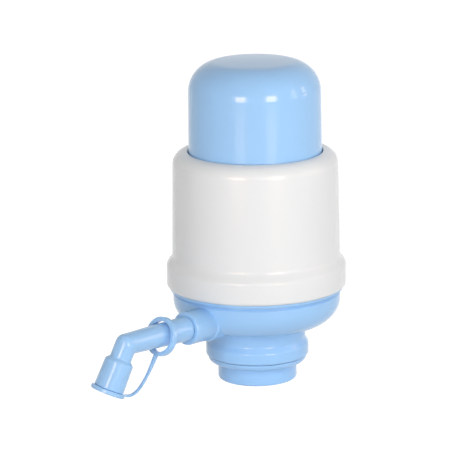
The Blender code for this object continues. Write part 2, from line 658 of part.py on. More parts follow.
def make_casing(frame, material):
    """White shell with a rounded shoulder, an S-shaped flare and a wide lower band."""
    lip = CASING_LIP_ROUND
    shoulder = min(SHOULDER_ROUND, SHOULDER_WIDTH - lip)
    shoulder_centre = CASING_TOP_RADIUS - shoulder
    inner_shoulder = max(shoulder - CASING_WALL, FIT_GAP)
    inner_top = SHOULDER_UNDERSIDE
    band_top = CASING_BOTTOM + BAND_HEIGHT
    flare_top = band_top + FLARE_HEIGHT
    ledge = DECK_TOP + FIT_GAP
    edge = min(BAND_EDGE_ROUND, CASING_WALL - FIT_GAP)
    outline = arc(OPENING_RADIUS + lip, CASING_TOP - lip, lip, 180, 90, EDGE_STEPS)
    outline += arc(shoulder_centre, CASING_TOP - shoulder, shoulder, 90, 0, CURVE_STEPS)
    outline += ease(CASING_RADIUS, flare_top, BAND_RADIUS, band_top, CURVE_STEPS)
    outline += arc(BAND_RADIUS - edge, CASING_BOTTOM + edge, edge, 0, -90, EDGE_STEPS)
    outline += [(SKIRT_BORE, CASING_BOTTOM + (CASING_WALL - edge))]
    snap_top = DECK_BOTTOM - FIT_GAP
    outline += [(SKIRT_BORE, snap_top - SNAP_LAND - SNAP_RAMP), (SNAP_RADIUS, snap_top - SNAP_LAND)]
    outline += [(SNAP_RADIUS, snap_top), (SKIRT_BORE, snap_top), (SKIRT_BORE, ledge)]
    outline += [(CASING_BORE, ledge)]
    outline += arc(shoulder_centre, inner_top - inner_shoulder, inner_shoulder, 0, 90, EDGE_STEPS)
    outline += [(OPENING_RADIUS, inner_top)]
    return turned("casing", outline, LARGE_SEGMENTS, frame, material)


def make_push_button(frame, material):
    """Domed shell whose flange stops under the casing's shoulder, with a guide skirt below it."""
    top_radius = BUTTON_RADIUS - BUTTON_DRAFT
    edge = BUTTON_EDGE_ROUND
    inner_edge = edge - BUTTON_WALL
    crown_edge = top_radius - edge
    side_top = BUTTON_TOP - BUTTON_CROWN - edge
    ceiling = BUTTON_TOP - BUTTON_CROWN - BUTTON_WALL
    outline = [(0, BUTTON_TOP), (BUTTON_FLAT_RADIUS, BUTTON_TOP)]
    outline += [((crown_edge + BUTTON_FLAT_RADIUS) / 2, BUTTON_TOP - BUTTON_CROWN / 4)]
    outline += arc(crown_edge, side_top, edge, 90, 0, CURVE_STEPS)
    outline += [(BUTTON_RADIUS, FLANGE_REST), (BUTTON_FLANGE_RADIUS, FLANGE_REST)]
    outline += [(BUTTON_FLANGE_RADIUS, BUTTON_FLANGE_BOTTOM), (BUTTON_RADIUS, BUTTON_FLANGE_BOTTOM)]
    outline += [(BUTTON_RADIUS, BUTTON_BOTTOM), (BUTTON_SKIRT_BORE, BUTTON_BOTTOM)]
    outline += [(BUTTON_SKIRT_BORE, PUSH_PLATE_TOP + FIT_GAP)]
    outline += [(BUTTON_RADIUS - BUTTON_WALL, PUSH_PLATE_TOP + FIT_GAP)]
    outline += arc(crown_edge, ceiling - inner_edge, inner_edge, 0, 90, EDGE_STEPS + 1)
    outline += [(0, ceiling)]
    return turned("push_button", outline, LARGE_SEGMENTS, frame, material)


def make_push_plate(frame, material):
    """Disc seated against the step in the button's skirt, which presses bellows and spring."""
    top, bottom = PUSH_PLATE_TOP, PUSH_PLATE_BOTTOM
    outline = [(0, top), (PUSH_PLATE_RADIUS, top), (PUSH_PLATE_RADIUS, bottom), (0, bottom)]
    plate = turned("push_plate", outline, LARGE_SEGMENTS, frame, material)
    low = bottom - CUT_OVERRUN
    high = top + CUT_OVERRUN
    cut_valve_holes(plate, "plate", low, high, frame)
    breather_circle = (BELLOWS_RADIUS + BUTTON_SKIRT_BORE) / 2
    for index, place in enumerate(around(BREATHER_COUNT, breather_circle)):
        name = f"breather_{index + 1}"
        cut(plate, cutter(name, BREATHER_RADIUS, low, high, SCREW_SEGMENTS, frame, location=place))
    return plate


def spout_outline():
    """The straight blank of the spout: outer side from the outlet in, then the waterway out."""
    neck = SPOUT_TIP_RADIUS
    end = ELBOW_REACH + LEG_LENGTH
    step_low = ELBOW_REACH + LEG_NECK_LENGTH
    step_high = step_low + LEG_SHOULDER_LENGTH
    groove_low, groove_high = o_ring_groove(SPIGOT_END + O_RING_SETBACK)
    groove_radius = SPIGOT_RADIUS - O_RING_GROOVE_DEPTH
    shoulder_round = SPOUT_SHOULDER_ROUND
    outline = [(LEG_END_RADIUS - LEG_END_ROUND, end), (LEG_END_RADIUS, end - LEG_END_ROUND)]
    outline += ease(LEG_STEP_RADIUS, step_high, neck, step_low, EDGE_STEPS)
    outline += [(neck, ELBOW_REACH)]
    outline += [(SPOUT_SHOULDER_RADIUS, SPOUT_SHOULDER + shoulder_round)]
    outline += [(SPOUT_SHOULDER_RADIUS - shoulder_round, SPOUT_SHOULDER), (SPIGOT_RADIUS, SPOUT_SHOULDER)]
    outline += [(SPIGOT_RADIUS, groove_high), (groove_radius, groove_high)]
    outline += [(groove_radius, groove_low), (SPIGOT_RADIUS, groove_low), (SPIGOT_RADIUS, SPIGOT_END)]
    outline += [(WATERWAY_RADIUS, SPIGOT_END), (WATERWAY_RADIUS, ELBOW_REACH)]
    outline += [(WATERWAY_RADIUS, end - OUTLET_BORE_DEPTH), (OUTLET_BORE_RADIUS, end - OUTLET_BORE_DEPTH)]
    outline += [(OUTLET_BORE_RADIUS, end)]
    return outline


def bend_at_elbow(mesh):
    """Turn everything past the elbow down by the leg's angle, and mitre the ring at the elbow."""
    for vertex in mesh.vertices:
        x, y, z = vertex.co
        beyond = z - ELBOW_REACH
        if abs(beyond) < MERGE_DISTANCE:
            vertex.co = (x, y, z + y * math.tan(LEG_ANGLE / 2))
        elif beyond > 0:
            low = y * math.cos(LEG_ANGLE) - beyond * math.sin(LEG_ANGLE)
            out = y * math.sin(LEG_ANGLE) + beyond * math.cos(LEG_ANGLE)
            vertex.co = (x, low, ELBOW_REACH + out)


def make_spout(swivel, material):
    """Tapered tube with a spigot, an elbow and a wide outlet: a turned blank, then bent."""
    blank = turned("spout_blank", spout_outline(), TUBE_SEGMENTS, swivel)
    mesh = applied_mesh(blank)
    bpy.data.objects.remove(blank)
    bend_at_elbow(mesh)
    mesh.name = "spout"
    return add_object("spout", mesh, swivel, material)


def make_outlet_cap(leg, material):
    """Thin disc with a hollow plug that fits in the outlet."""
    face, back, edge = CAP_FACE, CAP_FACE + CAP_THICKNESS, CAP_EDGE_ROUND
    plug_radius = OUTLET_BORE_RADIUS - FIT_GAP
    plug_end = face - CAP_PLUG_LENGTH
    plug_bore = plug_radius - CAP_PLUG_WALL
    outline = [(0, back), (CAP_RADIUS - edge, back), (CAP_RADIUS, back - edge), (CAP_RADIUS, face + edge)]
    outline += [(CAP_RADIUS - edge, face), (plug_radius, face), (plug_radius, plug_end + CAP_PLUG_LEAD_IN)]
    outline += [(plug_radius - CAP_PLUG_LEAD_IN, plug_end), (plug_bore, plug_end)]
    outline += [(plug_bore, face), (0, face)]
    return turned("outlet_cap", outline, TUBE_SEGMENTS, leg, material)


def make_tether_ring(swivel, material):
    """Loose band round the spout, leaning the way that the stiff strap holds it."""
    outer, inner = RING_OUTER_RADIUS, RING_OUTER_RADIUS - RING_THICKNESS
    half, edge = RING_WIDTH / 2, RING_EDGE_ROUND
    outline = [(outer - edge, half), (outer, half - edge), (outer, edge - half), (outer - edge, -half)]
    outline += [(inner + edge, -half), (inner, edge - half), (inner, half - edge), (inner + edge, half)]
    return turned(
        "tether_ring",
        outline,
        TUBE_SEGMENTS,
        swivel,
        material,
        location=(0, -RING_DROP, SPOUT_SHOULDER + RING_DISTANCE),
        rotation=(RING_TILT, 0, 0),
    )


def strap_route():
    """Points along the strap in the spout's plane, as (distance out, height) from ring to cap."""
    ring_centre = Vector((SPOUT_SHOULDER + RING_DISTANCE, -RING_DROP))
    ring_out = Vector((-math.sin(RING_TILT), -math.cos(RING_TILT)))
    start = ring_centre + ring_out * (RING_OUTER_RADIUS + FIT_GAP)
    cap_middle = CAP_FACE + CAP_THICKNESS / 2
    leg_out = Vector((math.cos(LEG_ANGLE), -math.sin(LEG_ANGLE)))
    cap_in = Vector((-math.sin(LEG_ANGLE), -math.cos(LEG_ANGLE)))
    end = Vector((ELBOW_REACH, 0)) + leg_out * cap_middle + cap_in * (CAP_RADIUS + FIT_GAP)
    start_pull = start + Vector((math.sin(STRAP_RING_LEAN), -math.cos(STRAP_RING_LEAN))) * STRAP_RING_PULL
    end_pull = end + cap_in * STRAP_CAP_PULL
    points = []
    for step in range(STRAP_STEPS + 1):
        share = step / STRAP_STEPS
        rest = 1 - share
        from_ring = start * rest**3 + start_pull * (3 * rest**2 * share)
        to_cap = end_pull * (3 * rest * share**2) + end * share**3
        points.append(from_ring + to_cap)
    return points


def make_tether_strap(swivel, material):
    """Flat strap from the ring to the cap, widened where it leaves the ring."""
    route = strap_route()
    left, right = [], []
    for index, point in enumerate(route):
        before = route[max(index - 1, 0)]
        after = route[min(index + 1, len(route) - 1)]
        along = (after - before).normalized()
        across = Vector((-along.y, along.x))
        swell = max(0.0, 1 - index / len(route) / STRAP_ROOT_SHARE)
        half = (STRAP_THICKNESS + (STRAP_ROOT_THICKNESS - STRAP_THICKNESS) * swell) / 2
        left.append(point + across * half)
        right.append(point - across * half)
    curve = bpy.data.curves.new("tether_strap", "CURVE")
    curve.dimensions = "2D"
    curve.fill_mode = "BOTH"
    curve.extrude = STRAP_WIDTH / 2
    outline = left + right[::-1]
    spline = curve.splines.new("POLY")
    spline.points.add(len(outline) - 1)
    spline.use_cyclic_u = True
    for point, place in zip(spline.points, outline):
        point.co = (place.x, place.y, 0, 1)
    curve.materials.append(material)
    strap = bpy.data.objects.new("tether_strap", curve)
    strap.parent = swivel
    strap.rotation_euler = (0, -math.pi / 2, 0)
    PARTS.objects.link(strap)
    return strap


def build():
    """Make every piece in its frame."""
    blue = new_material("light_blue_plastic", (0.37, 0.63, 0.91), 0.22)
    white = new_material("white_plastic", (0.83, 0.83, 0.82), 0.25)
    inner_plastic = new_material("natural_plastic", (0.72, 0.74, 0.74), 0.45)
    silicone = new_material("silicone", (0.80, 0.82, 0.82), 0.50)
    rubber = new_material("black_rubber", (0.03, 0.03, 0.03), 0.60)
    steel = new_material("spring_steel", (0.60, 0.60, 0.62), 0.30, 1.0)

    pump = new_empty("pump_axis", location=(0, PUMP_AXIS_Y, 0))
    adapter_slide = new_empty("adapter_slide", pump)
    button_slide = new_empty("button_slide", pump)
    outlet = new_empty("outlet_axis", pump, (0, 0, OUTLET_HEIGHT), (math.pi / 2 - OUTLET_TILT, 0, 0))
    swivel = new_empty("spout_swivel_axis", outlet, rotation=(0, 0, SPOUT_SWIVEL))
    leg = new_empty("cap_slide", swivel, (0, 0, ELBOW_REACH), (LEG_ANGLE, 0, 0))

    make_neck_adapter(adapter_slide, blue)
    make_gasket(
        "small_neck_gasket", SMALL_NECK_RADIUS - FIT_GAP, SMALL_NECK_DEPTH, adapter_slide, silicone
    )
    make_gasket("large_neck_gasket", SLEEVE_RADIUS, SLEEVE_TOP + FIT_GAP, pump, silicone)

    make_base_bowl(pump, outlet, blue)
    make_water_channel(pump, outlet, inner_plastic)
    make_o_ring("channel_o_ring", CHANNEL_END - O_RING_SETBACK, outlet, rubber)
    make_deck_gasket(pump, rubber)
    make_base_deck(pump, inner_plastic)
    make_valve("outlet_valve", DECK_BOTTOM, DECK_THICKNESS, pump, silicone)
    make_bellows(pump, silicone)
    make_clamp_ring(pump, inner_plastic)
    make_screws(pump, steel)
    make_return_spring(pump, steel)
    make_casing(pump, white)

    make_push_button(button_slide, blue)
    make_push_plate(button_slide, inner_plastic)
    make_valve("inlet_valve", PUSH_PLATE_BOTTOM, PUSH_PLATE_THICKNESS, button_slide, silicone)

    make_spout(swivel, blue)
    make_o_ring("spout_o_ring", SPIGOT_END + O_RING_SETBACK, swivel, rubber)
    make_tether_ring(swivel, blue)
    make_tether_strap(swivel, blue)
    make_outlet_cap(leg, blue)


for old in list(bpy.data.objects):
    bpy.data.objects.remove(old, do_unlink=True)
PARTS = new_collection("jug_hand_pump")
CUTTERS = new_collection("cutters")
build()
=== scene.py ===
"""Looks of a hand pump for a drinking-water jug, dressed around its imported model.

Lengths are in metres, +Z is up and the spout points along -Y. Each moulding is a class that makes
its own fine mesh in the place of its plain solid, and the pieces inside keep their solids under
better finishes. The studio has soft boxes all round, a few that only show in the gloss, and a
white floor.
"""

from __future__ import annotations

import json
import logging
import math
from collections.abc import Callable, Mapping, Sequence
from dataclasses import dataclass, replace
from enum import Enum
from typing import Any

import bmesh
import bpy
from mathutils import Matrix, Vector

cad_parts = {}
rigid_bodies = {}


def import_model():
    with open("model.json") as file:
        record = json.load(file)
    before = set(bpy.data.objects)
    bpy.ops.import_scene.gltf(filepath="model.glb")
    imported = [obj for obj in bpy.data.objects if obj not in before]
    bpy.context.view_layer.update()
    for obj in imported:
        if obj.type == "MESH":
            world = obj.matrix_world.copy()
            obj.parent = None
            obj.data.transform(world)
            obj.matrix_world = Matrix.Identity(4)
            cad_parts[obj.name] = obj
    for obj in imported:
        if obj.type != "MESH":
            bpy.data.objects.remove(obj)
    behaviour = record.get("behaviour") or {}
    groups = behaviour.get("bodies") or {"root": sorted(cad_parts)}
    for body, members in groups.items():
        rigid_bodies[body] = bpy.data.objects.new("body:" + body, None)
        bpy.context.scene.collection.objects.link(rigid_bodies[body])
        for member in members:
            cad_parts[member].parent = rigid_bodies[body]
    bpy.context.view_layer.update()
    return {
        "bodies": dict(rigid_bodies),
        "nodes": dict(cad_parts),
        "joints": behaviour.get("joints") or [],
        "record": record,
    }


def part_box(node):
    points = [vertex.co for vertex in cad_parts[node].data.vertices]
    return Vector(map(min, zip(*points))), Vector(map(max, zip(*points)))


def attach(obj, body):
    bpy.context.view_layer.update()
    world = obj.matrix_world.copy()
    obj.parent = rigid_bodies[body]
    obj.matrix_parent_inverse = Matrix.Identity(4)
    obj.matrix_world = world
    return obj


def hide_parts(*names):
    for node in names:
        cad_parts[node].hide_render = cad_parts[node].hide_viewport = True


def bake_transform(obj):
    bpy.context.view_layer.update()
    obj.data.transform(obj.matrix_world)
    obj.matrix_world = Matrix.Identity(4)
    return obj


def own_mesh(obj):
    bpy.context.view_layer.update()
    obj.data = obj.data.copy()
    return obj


log = logging.getLogger("jug_pump")

FIT_GAP = 0.0003
FINE_ROUND = 0.0003
LIP_ROUND = 0.0004
LEDGE_ROUND = 0.0006
MERGE_DISTANCE = 0.000001
CUT_OVERRUN = 0.004
SHARP_ANGLE = math.radians(38.0)
FLATTEST_CORNER = 0.01
AIM_HEIGHT = 0.0823
STUDIO_DISTANCE = 1.8
ROUNDING_ROOM_SHARE = 0.49

Point = tuple[float, float]
Colour = tuple[float, float, float]
PURE_WHITE: Colour = (1.0, 1.0, 1.0)


class Body(Enum):
    """The bodies of the frame that pieces ride on."""

    PUMP = "pump_body"
    BUTTON = "button"
    ARM = "spout_arm"
    CAP = "cap"
    ADAPTER = "adapter"


class Slot(Enum):
    """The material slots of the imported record."""

    LIGHT_BLUE = "light_blue_plastic"
    WHITE = "white_plastic"
    NATURAL = "natural_plastic"
    SILICONE = "silicone"
    RUBBER = "black_rubber"
    STEEL = "spring_steel"


class Segments(Enum):
    """How finely a round piece is divided about its axis."""

    SHELL = 160
    TUBE = 96
    RING = 72
    FLOOR = 64
    WIRE = 14

    def turns(self) -> list[float]:
        """The angles round the axis, in radians."""
        return [2 * math.pi * index / self.value for index in range(self.value)]


@dataclass(frozen=True)
class Signal:
    """A shader socket that can stand in sums and products."""

    graph: Graph
    socket: bpy.types.NodeSocket

    def math(self, operation: str, first: Signal | float, second: Signal | float) -> Signal:
        """Add a Math node on two values."""
        return self.graph.node("ShaderNodeMath", {"operation": operation}, {0: first, 1: second})

    def __add__(self, other: Signal | float) -> Signal:
        """Sum of this signal and a value."""
        return self.math("ADD", self, other)

    def __radd__(self, other: float) -> Signal:
        """Sum of a value and this signal."""
        return self.math("ADD", other, self)

    def __sub__(self, other: Signal | float) -> Signal:
        """This signal less a value."""
        return self.math("SUBTRACT", self, other)

    def __rsub__(self, other: float) -> Signal:
        """A value less this signal."""
        return self.math("SUBTRACT", other, self)

    def __mul__(self, other: Signal | float) -> Signal:
        """Product of this signal and a value."""
        return self.math("MULTIPLY", self, other)

    def __rmul__(self, other: float) -> Signal:
        """Product of a value and this signal."""
        return self.math("MULTIPLY", other, self)


class Graph:
    """The node tree of a material or of the world."""

    def __init__(self, tree: bpy.types.NodeTree) -> None:
        """Start an empty graph in a tree."""
        self.tree = tree
        self.tree.nodes.clear()

    def node(
        self,
        kind: str,
        settings: Mapping[str, Any] | None = None,
        sockets: Mapping[int | str, Any] | None = None,
        output: int | str = 0,
    ) -> Signal:
        """Add a node, set it up and feed its sockets.

        Args:
            kind: Blender's name of the node's type.
            settings: The node's own properties.
            sockets: A value or a signal for each input, by index or name.
            output: The output that the signal stands for.

        Returns:
            The signal of the chosen output.
        """
        return Signal(self, self.add(kind, settings, sockets).outputs[output])

    def add(
        self,
        kind: str,
        settings: Mapping[str, Any] | None = None,
        sockets: Mapping[int | str, Any] | None = None,
    ) -> bpy.types.Node:
        """Add a node as the method above does, and give back the node itself."""
        node = self.tree.nodes.new(kind)
        for name, value in (settings or {}).items():
            setattr(node, name, value)
        for key, value in (sockets or {}).items():
            if isinstance(value, Signal):
                self.tree.links.new(value.socket, node.inputs[key])
            else:
                node.inputs[key].default_value = value
        return node

    def noise(self, place: Signal, size: float, detail: float = 2.0) -> Signal:
        """Soft noise whose features are about as large as a size."""
        sockets = {"Vector": place, "Scale": 1.0 / size, "Detail": detail}
        return self.node("ShaderNodeTexNoise", None, sockets, "Fac")

    def mix(self, share: Signal, first: Any, second: Any) -> Signal:
        """Mix two colours by a share."""
        return self.node("ShaderNodeMix", {"data_type": "RGBA"}, {0: share, 6: first, 7: second}, 2)

    def seen(self) -> Signal:
        """1 for what the camera sees, also in a reflection or through a piece, and 0 for light."""
        rays = self.add("ShaderNodeLightPath").outputs
        straight, mirrored, through = (
            Signal(self, rays[f"Is {kind} Ray"]) for kind in ("Camera", "Glossy", "Transmission")
        )
        total = straight + mirrored + through
        return total.math("MINIMUM", total, 1.0)


def shade(colour: Colour, factor: float) -> tuple[float, float, float, float]:
    """A colour made lighter or darker, with its alpha."""
    red, green, blue = (min(1.0, channel * factor) for channel in colour)
    return red, green, blue, 1.0


@dataclass(frozen=True)
class Finish:
    """A surface with a colour that drifts a little, uneven gloss and a fine grain."""

    slot: Slot
    colour: Colour
    roughness: float
    colour_drift: float = 0.012
    drift_size: float = 0.03
    gloss_drift: float = 0.03
    grain_size: float = 0.0012
    grain_depth: float = 0.000004
    grain_detail: float = 1.0
    grain_strength: float = 1.0
    gloss_detail: float = 4.0
    metallic: float = 0.0
    ior: float = 1.47
    subsurface: float = 0.0
    subsurface_radius: float = 0.001

    def material(self) -> bpy.types.Material:
        """Make this finish's material, or fetch it if a piece already has it."""
        name = f"{self.slot.value}_finish"
        if name in bpy.data.materials:
            return bpy.data.materials[name]
        material = bpy.data.materials.new(name)
        material.use_nodes = True
        graph = Graph(material.node_tree)
        place = graph.node("ShaderNodeTexCoord", output="Object")
        shader = graph.node("ShaderNodeBsdfPrincipled", None, self._sockets(graph, place))
        graph.add("ShaderNodeOutputMaterial", None, {"Surface": shader})
        return material

    def _sockets(self, graph: Graph, place: Signal) -> dict[str, Any]:
        """Values and signals of the shader's sockets."""
        return {
            "Base Color": self.base_colour(graph, place),
            "Roughness": self.gloss(graph, place),
            "Normal": self.relief(graph, place),
            "Metallic": self.metallic,
            "IOR": self.ior,
            "Subsurface Weight": self.subsurface,
            "Subsurface Radius": (self.subsurface_radius,) * 3,
            "Subsurface Scale": 1.0,
        }

    def base_colour(self, graph: Graph, place: Signal) -> Signal:
        """Colour that drifts in broad soft patches, as pigment does in a moulding."""
        patches = graph.noise(place, self.drift_size)
        low = shade(self.colour, 1 - self.colour_drift)
        high = shade(self.colour, 1 + self.colour_drift)
        return graph.mix(patches, low, high)

    def gloss(self, graph: Graph, place: Signal) -> Signal:
        """Roughness that wanders a little, as handled plastic's does."""
        patches = graph.noise(place, self.drift_size / 3, self.gloss_detail)
        return (patches - 0.5) * (2 * self.gloss_drift) + self.roughness

    def relief(self, graph: Graph, place: Signal) -> Signal:
        """Normal with the faint grain of the mould's surface."""
        grain = graph.noise(place, self.grain_size, self.grain_detail)
        return self.bump(graph, grain)

    def bump(self, graph: Graph, height: Signal) -> Signal:
        """Normal that a height tilts."""
        sockets = {"Strength": self.grain_strength, "Distance": self.grain_depth, "Height": height}
        return graph.node("ShaderNodeBump", None, sockets)


@dataclass(frozen=True)
class WireFinish(Finish):
    """Bright steel with fine lines where it was drawn or turned."""

    grain_strength: float = 0.6
    line_spacing: float = 0.00018
    line_detail: float = 3.0
    line_stretch: tuple[float, float, float] = (0.1, 0.1, 1.0)

    def relief(self, graph: Graph, place: Signal) -> Signal:
        """Normal with level drawn lines."""
        level = graph.node("ShaderNodeMapping", None, {"Vector": place, "Scale": self.line_stretch})
        return self.bump(graph, graph.noise(level, self.line_spacing, self.line_detail))


LIGHT_BLUE = Finish(Slot.LIGHT_BLUE, (0.332, 0.570, 0.873), 0.09, gloss_drift=0.02)
WHITE = Finish(Slot.WHITE, (0.78, 0.778, 0.775), 0.20, colour_drift=0.006)
NATURAL = Finish(Slot.NATURAL, (0.72, 0.74, 0.73), 0.42, gloss_drift=0.05, subsurface=0.15)
SILICONE = Finish(
    Slot.SILICONE, (0.78, 0.80, 0.80), 0.52, grain_size=0.0006, subsurface=0.3, subsurface_radius=0.002
)
RUBBER = Finish(
    Slot.RUBBER,
    (0.028, 0.028, 0.030),
    0.62,
    colour_drift=0.2,
    drift_size=0.004,
    grain_size=0.0004,
    grain_depth=0.00001,
    grain_detail=4.0,
)
STEEL = WireFinish(Slot.STEEL, (0.58, 0.58, 0.60), 0.22, metallic=1.0, drift_size=0.006)


@dataclass(frozen=True)
class Extent:
    """The box of a node of the frame, at rest."""

    low: Vector
    high: Vector

    @classmethod
    def of(cls, node: str) -> Extent:
        """Read a node's box from the frame."""
        return cls(*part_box(node))

    @property
    def radius(self) -> float:
        """Half the width across X, which a turned piece has all round."""
        return (self.high.x - self.low.x) / 2

    @property
    def bottom(self) -> float:
        """Lowest height."""
        return self.low.z

    @property
    def top(self) -> float:
        """Greatest height."""
        return self.high.z

    @property
    def middle(self) -> Vector:
        """Centre of the box."""
        return (self.low + self.high) / 2


@dataclass(frozen=True)
class Corner:
    """A corner of an outline, with the radius that rounds it."""

    across: float
    along: float
    rounding: float = 0.0


def path(*parts: tuple[float, ...] | list[Point]) -> list[Corner]:
    """Corners of an outline, from its parts in order.

    Args:
        parts: Each is a corner as (across, along) or (across, along, rounding), or a list of points
            that already lie on a curve.

    Returns:
        The corners.
    """
    outline = []
    for part in parts:
        outline += [Corner(*part)] if isinstance(part, tuple) else [Corner(*point) for point in part]
    return outline


def arc(
    centre: Point, radius: float, start: float, end: float, steps: int, height: float | None = None
) -> list[Point]:
    """Points along an arc or an ellipse's arc.

    Args:
        centre: The centre.
        radius: Half the width.
        start: First angle in degrees.
        end: Last angle in degrees.
        steps: How many stretches the arc has.
        height: Half the height, where it isn't the radius.

    Returns:
        One more point than there are steps.
    """
    tall = radius if height is None else height
    points = []
    for step in range(steps + 1):
        angle = math.radians(start + (end - start) * step / steps)
        points.append((centre[0] + radius * math.cos(angle), centre[1] + tall * math.sin(angle)))
    return points


def soft_step(share: float) -> float:
    """A share from 0 to 1 that starts and ends gently."""
    return share * share * (3 - 2 * share)


def ease(start: Point, end: Point, steps: int) -> list[Point]:
    """Points along an S-shaped change of radius that starts and ends upright."""
    points = []
    for step in range(steps + 1):
        share = step / steps
        across = start[0] + (end[0] - start[0]) * soft_step(share)
        points.append((across, start[1] + (end[1] - start[1]) * share))
    return points


def round_corner(
    before: Vector, corner: Vector, after: Vector, rounding: float, steps: int
) -> list[Vector]:
    """Points of the arc that rounds one corner of an outline.

    Args:
        before: The corner before it.
        corner: The corner itself.
        after: The corner after it.
        rounding: The arc's radius, which short sides make smaller.
        steps: How many stretches the arc has.

    Returns:
        The arc's points, or the corner alone if it can't be rounded.
    """
    back, ahead = before - corner, after - corner
    room = min(back.length, ahead.length) * ROUNDING_ROOM_SHARE
    if rounding <= 0 or room <= 0:
        return [corner]
    back.normalize()
    ahead.normalize()
    half = back.angle(ahead) / 2
    if half < FLATTEST_CORNER or half > math.pi / 2 - FLATTEST_CORNER:
        return [corner]
    reach = min(rounding / math.tan(half), room)
    centre = corner + (back + ahead).normalized() * (reach / math.cos(half))
    first, last = corner + back * reach - centre, corner + ahead * reach - centre
    sweep = math.pi - 2 * half
    points = []
    for step in range(steps + 1):
        share = step / steps
        spoke = first * math.sin((1 - share) * sweep) + last * math.sin(share * sweep)
        points.append(centre + spoke / math.sin(sweep))
    return points


def rounded(outline: Sequence[Corner], steps: int = 5) -> list[Point]:
    """Points of a closed outline with its corners rounded.

    Args:
        outline: The corners in order. One on the axis stays sharp.
        steps: How many stretches round each corner.

    Returns:
        The points in order.
    """
    places = [Vector((corner.across, corner.along)) for corner in outline]
    points = []
    for index, corner in enumerate(outline):
        before, after = places[index - 1], places[(index + 1) % len(places)]
        for point in round_corner(before, places[index], after, corner.rounding, steps):
            points.append((point.x, point.y))
    return points


def skin(name: str, rings: Sequence[Sequence[Vector]], closed: bool = True) -> bpy.types.Object:
    """Join successive rings of equally many points into one smooth surface.

    Args:
        name: The piece's name.
        rings: The rings in order. One whose points all meet closes an end.
        closed: Whether the last ring joins the first again.

    Returns:
        The new object, with its mesh in the frame's own place.
    """
    shape = bmesh.new()
    grid = [[shape.verts.new(point) for point in ring] for ring in rings]
    pairs = list(zip(grid, grid[1:]))
    if closed:
        pairs.append((grid[-1], grid[0]))
    for lower, upper in pairs:
        for index, start in enumerate(lower):
            following = (index + 1) % len(lower)
            shape.faces.new((start, lower[following], upper[following], upper[index]))
    bmesh.ops.remove_doubles(shape, verts=shape.verts, dist=MERGE_DISTANCE)
    bmesh.ops.recalc_face_normals(shape, faces=shape.faces)
    mesh = bpy.data.meshes.new(name)
    shape.to_mesh(mesh)
    shape.free()
    piece = bpy.data.objects.new(name, mesh)
    bpy.context.scene.collection.objects.link(piece)
    return piece


def turn(name: str, outline: Sequence[Point], segments: Segments, place: Matrix) -> bpy.types.Object:
    """Turn an outline about an axis.

    Args:
        name: The piece's name.
        outline: Points of (radius, distance along the axis). One that starts and ends on the axis
            makes a solid piece, and any other is closed into a ring.
        segments: How finely the piece is divided.
        place: Where the axis stands, with the piece's own Z along it.

    Returns:
        The new object.
    """
    rings = []
    for radius, along in outline:
        spokes = [(radius * math.cos(angle), radius * math.sin(angle)) for angle in segments.turns()]
        rings.append([place @ Vector((*spoke, along)) for spoke in spokes])
    return skin(name, rings, closed=outline[0][0] > 0)


def combine(piece: bpy.types.Object, tools: Sequence[bpy.types.Object], operation: str) -> None:
    """Join other shapes to a piece, or cut them from it, and remove them.

    Args:
        piece: The piece that is changed.
        tools: The shapes to join or to cut with.
        operation: Blender's word, UNION or DIFFERENCE.
    """
    for tool in tools:
        modifier = piece.modifiers.new(tool.name, "BOOLEAN")
        modifier.operation = operation
        modifier.solver = "EXACT"
        modifier.object = tool
    bpy.context.view_layer.update()
    solid = bpy.data.meshes.new_from_object(piece.evaluated_get(bpy.context.evaluated_depsgraph_get()))
    piece.modifiers.clear()
    old = piece.data
    piece.data = solid
    bpy.data.meshes.remove(old)
    for tool in tools:
        bpy.data.objects.remove(tool)


def smooth(piece: bpy.types.Object) -> None:
    """Shade a piece smooth, with true flats beside its rounded edges."""
    piece.data.shade_smooth()
    piece.data.set_sharp_from_angle(angle=SHARP_ANGLE)
    modifier = piece.modifiers.new("Flats", "WEIGHTED_NORMAL")
    modifier.mode = "FACE_AREA_WITH_ANGLE"
    modifier.keep_sharp = True


def dress(piece: bpy.types.Object, finish: Finish) -> None:
    """Give a piece its finish, whose material is named after a slot of the record."""
    piece.data.materials.clear()
    piece.data.materials.append(finish.material())


def settle(piece: bpy.types.Object, finish: Finish, body: Body, node: str) -> None:
    """Dress a new piece, let it ride on its body, and show it instead of a node."""
    smooth(piece)
    dress(piece, finish)
    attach(piece, body.value)
    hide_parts(node)
    log.info("%s rides on %s in place of %s", piece.name, body.value, node)


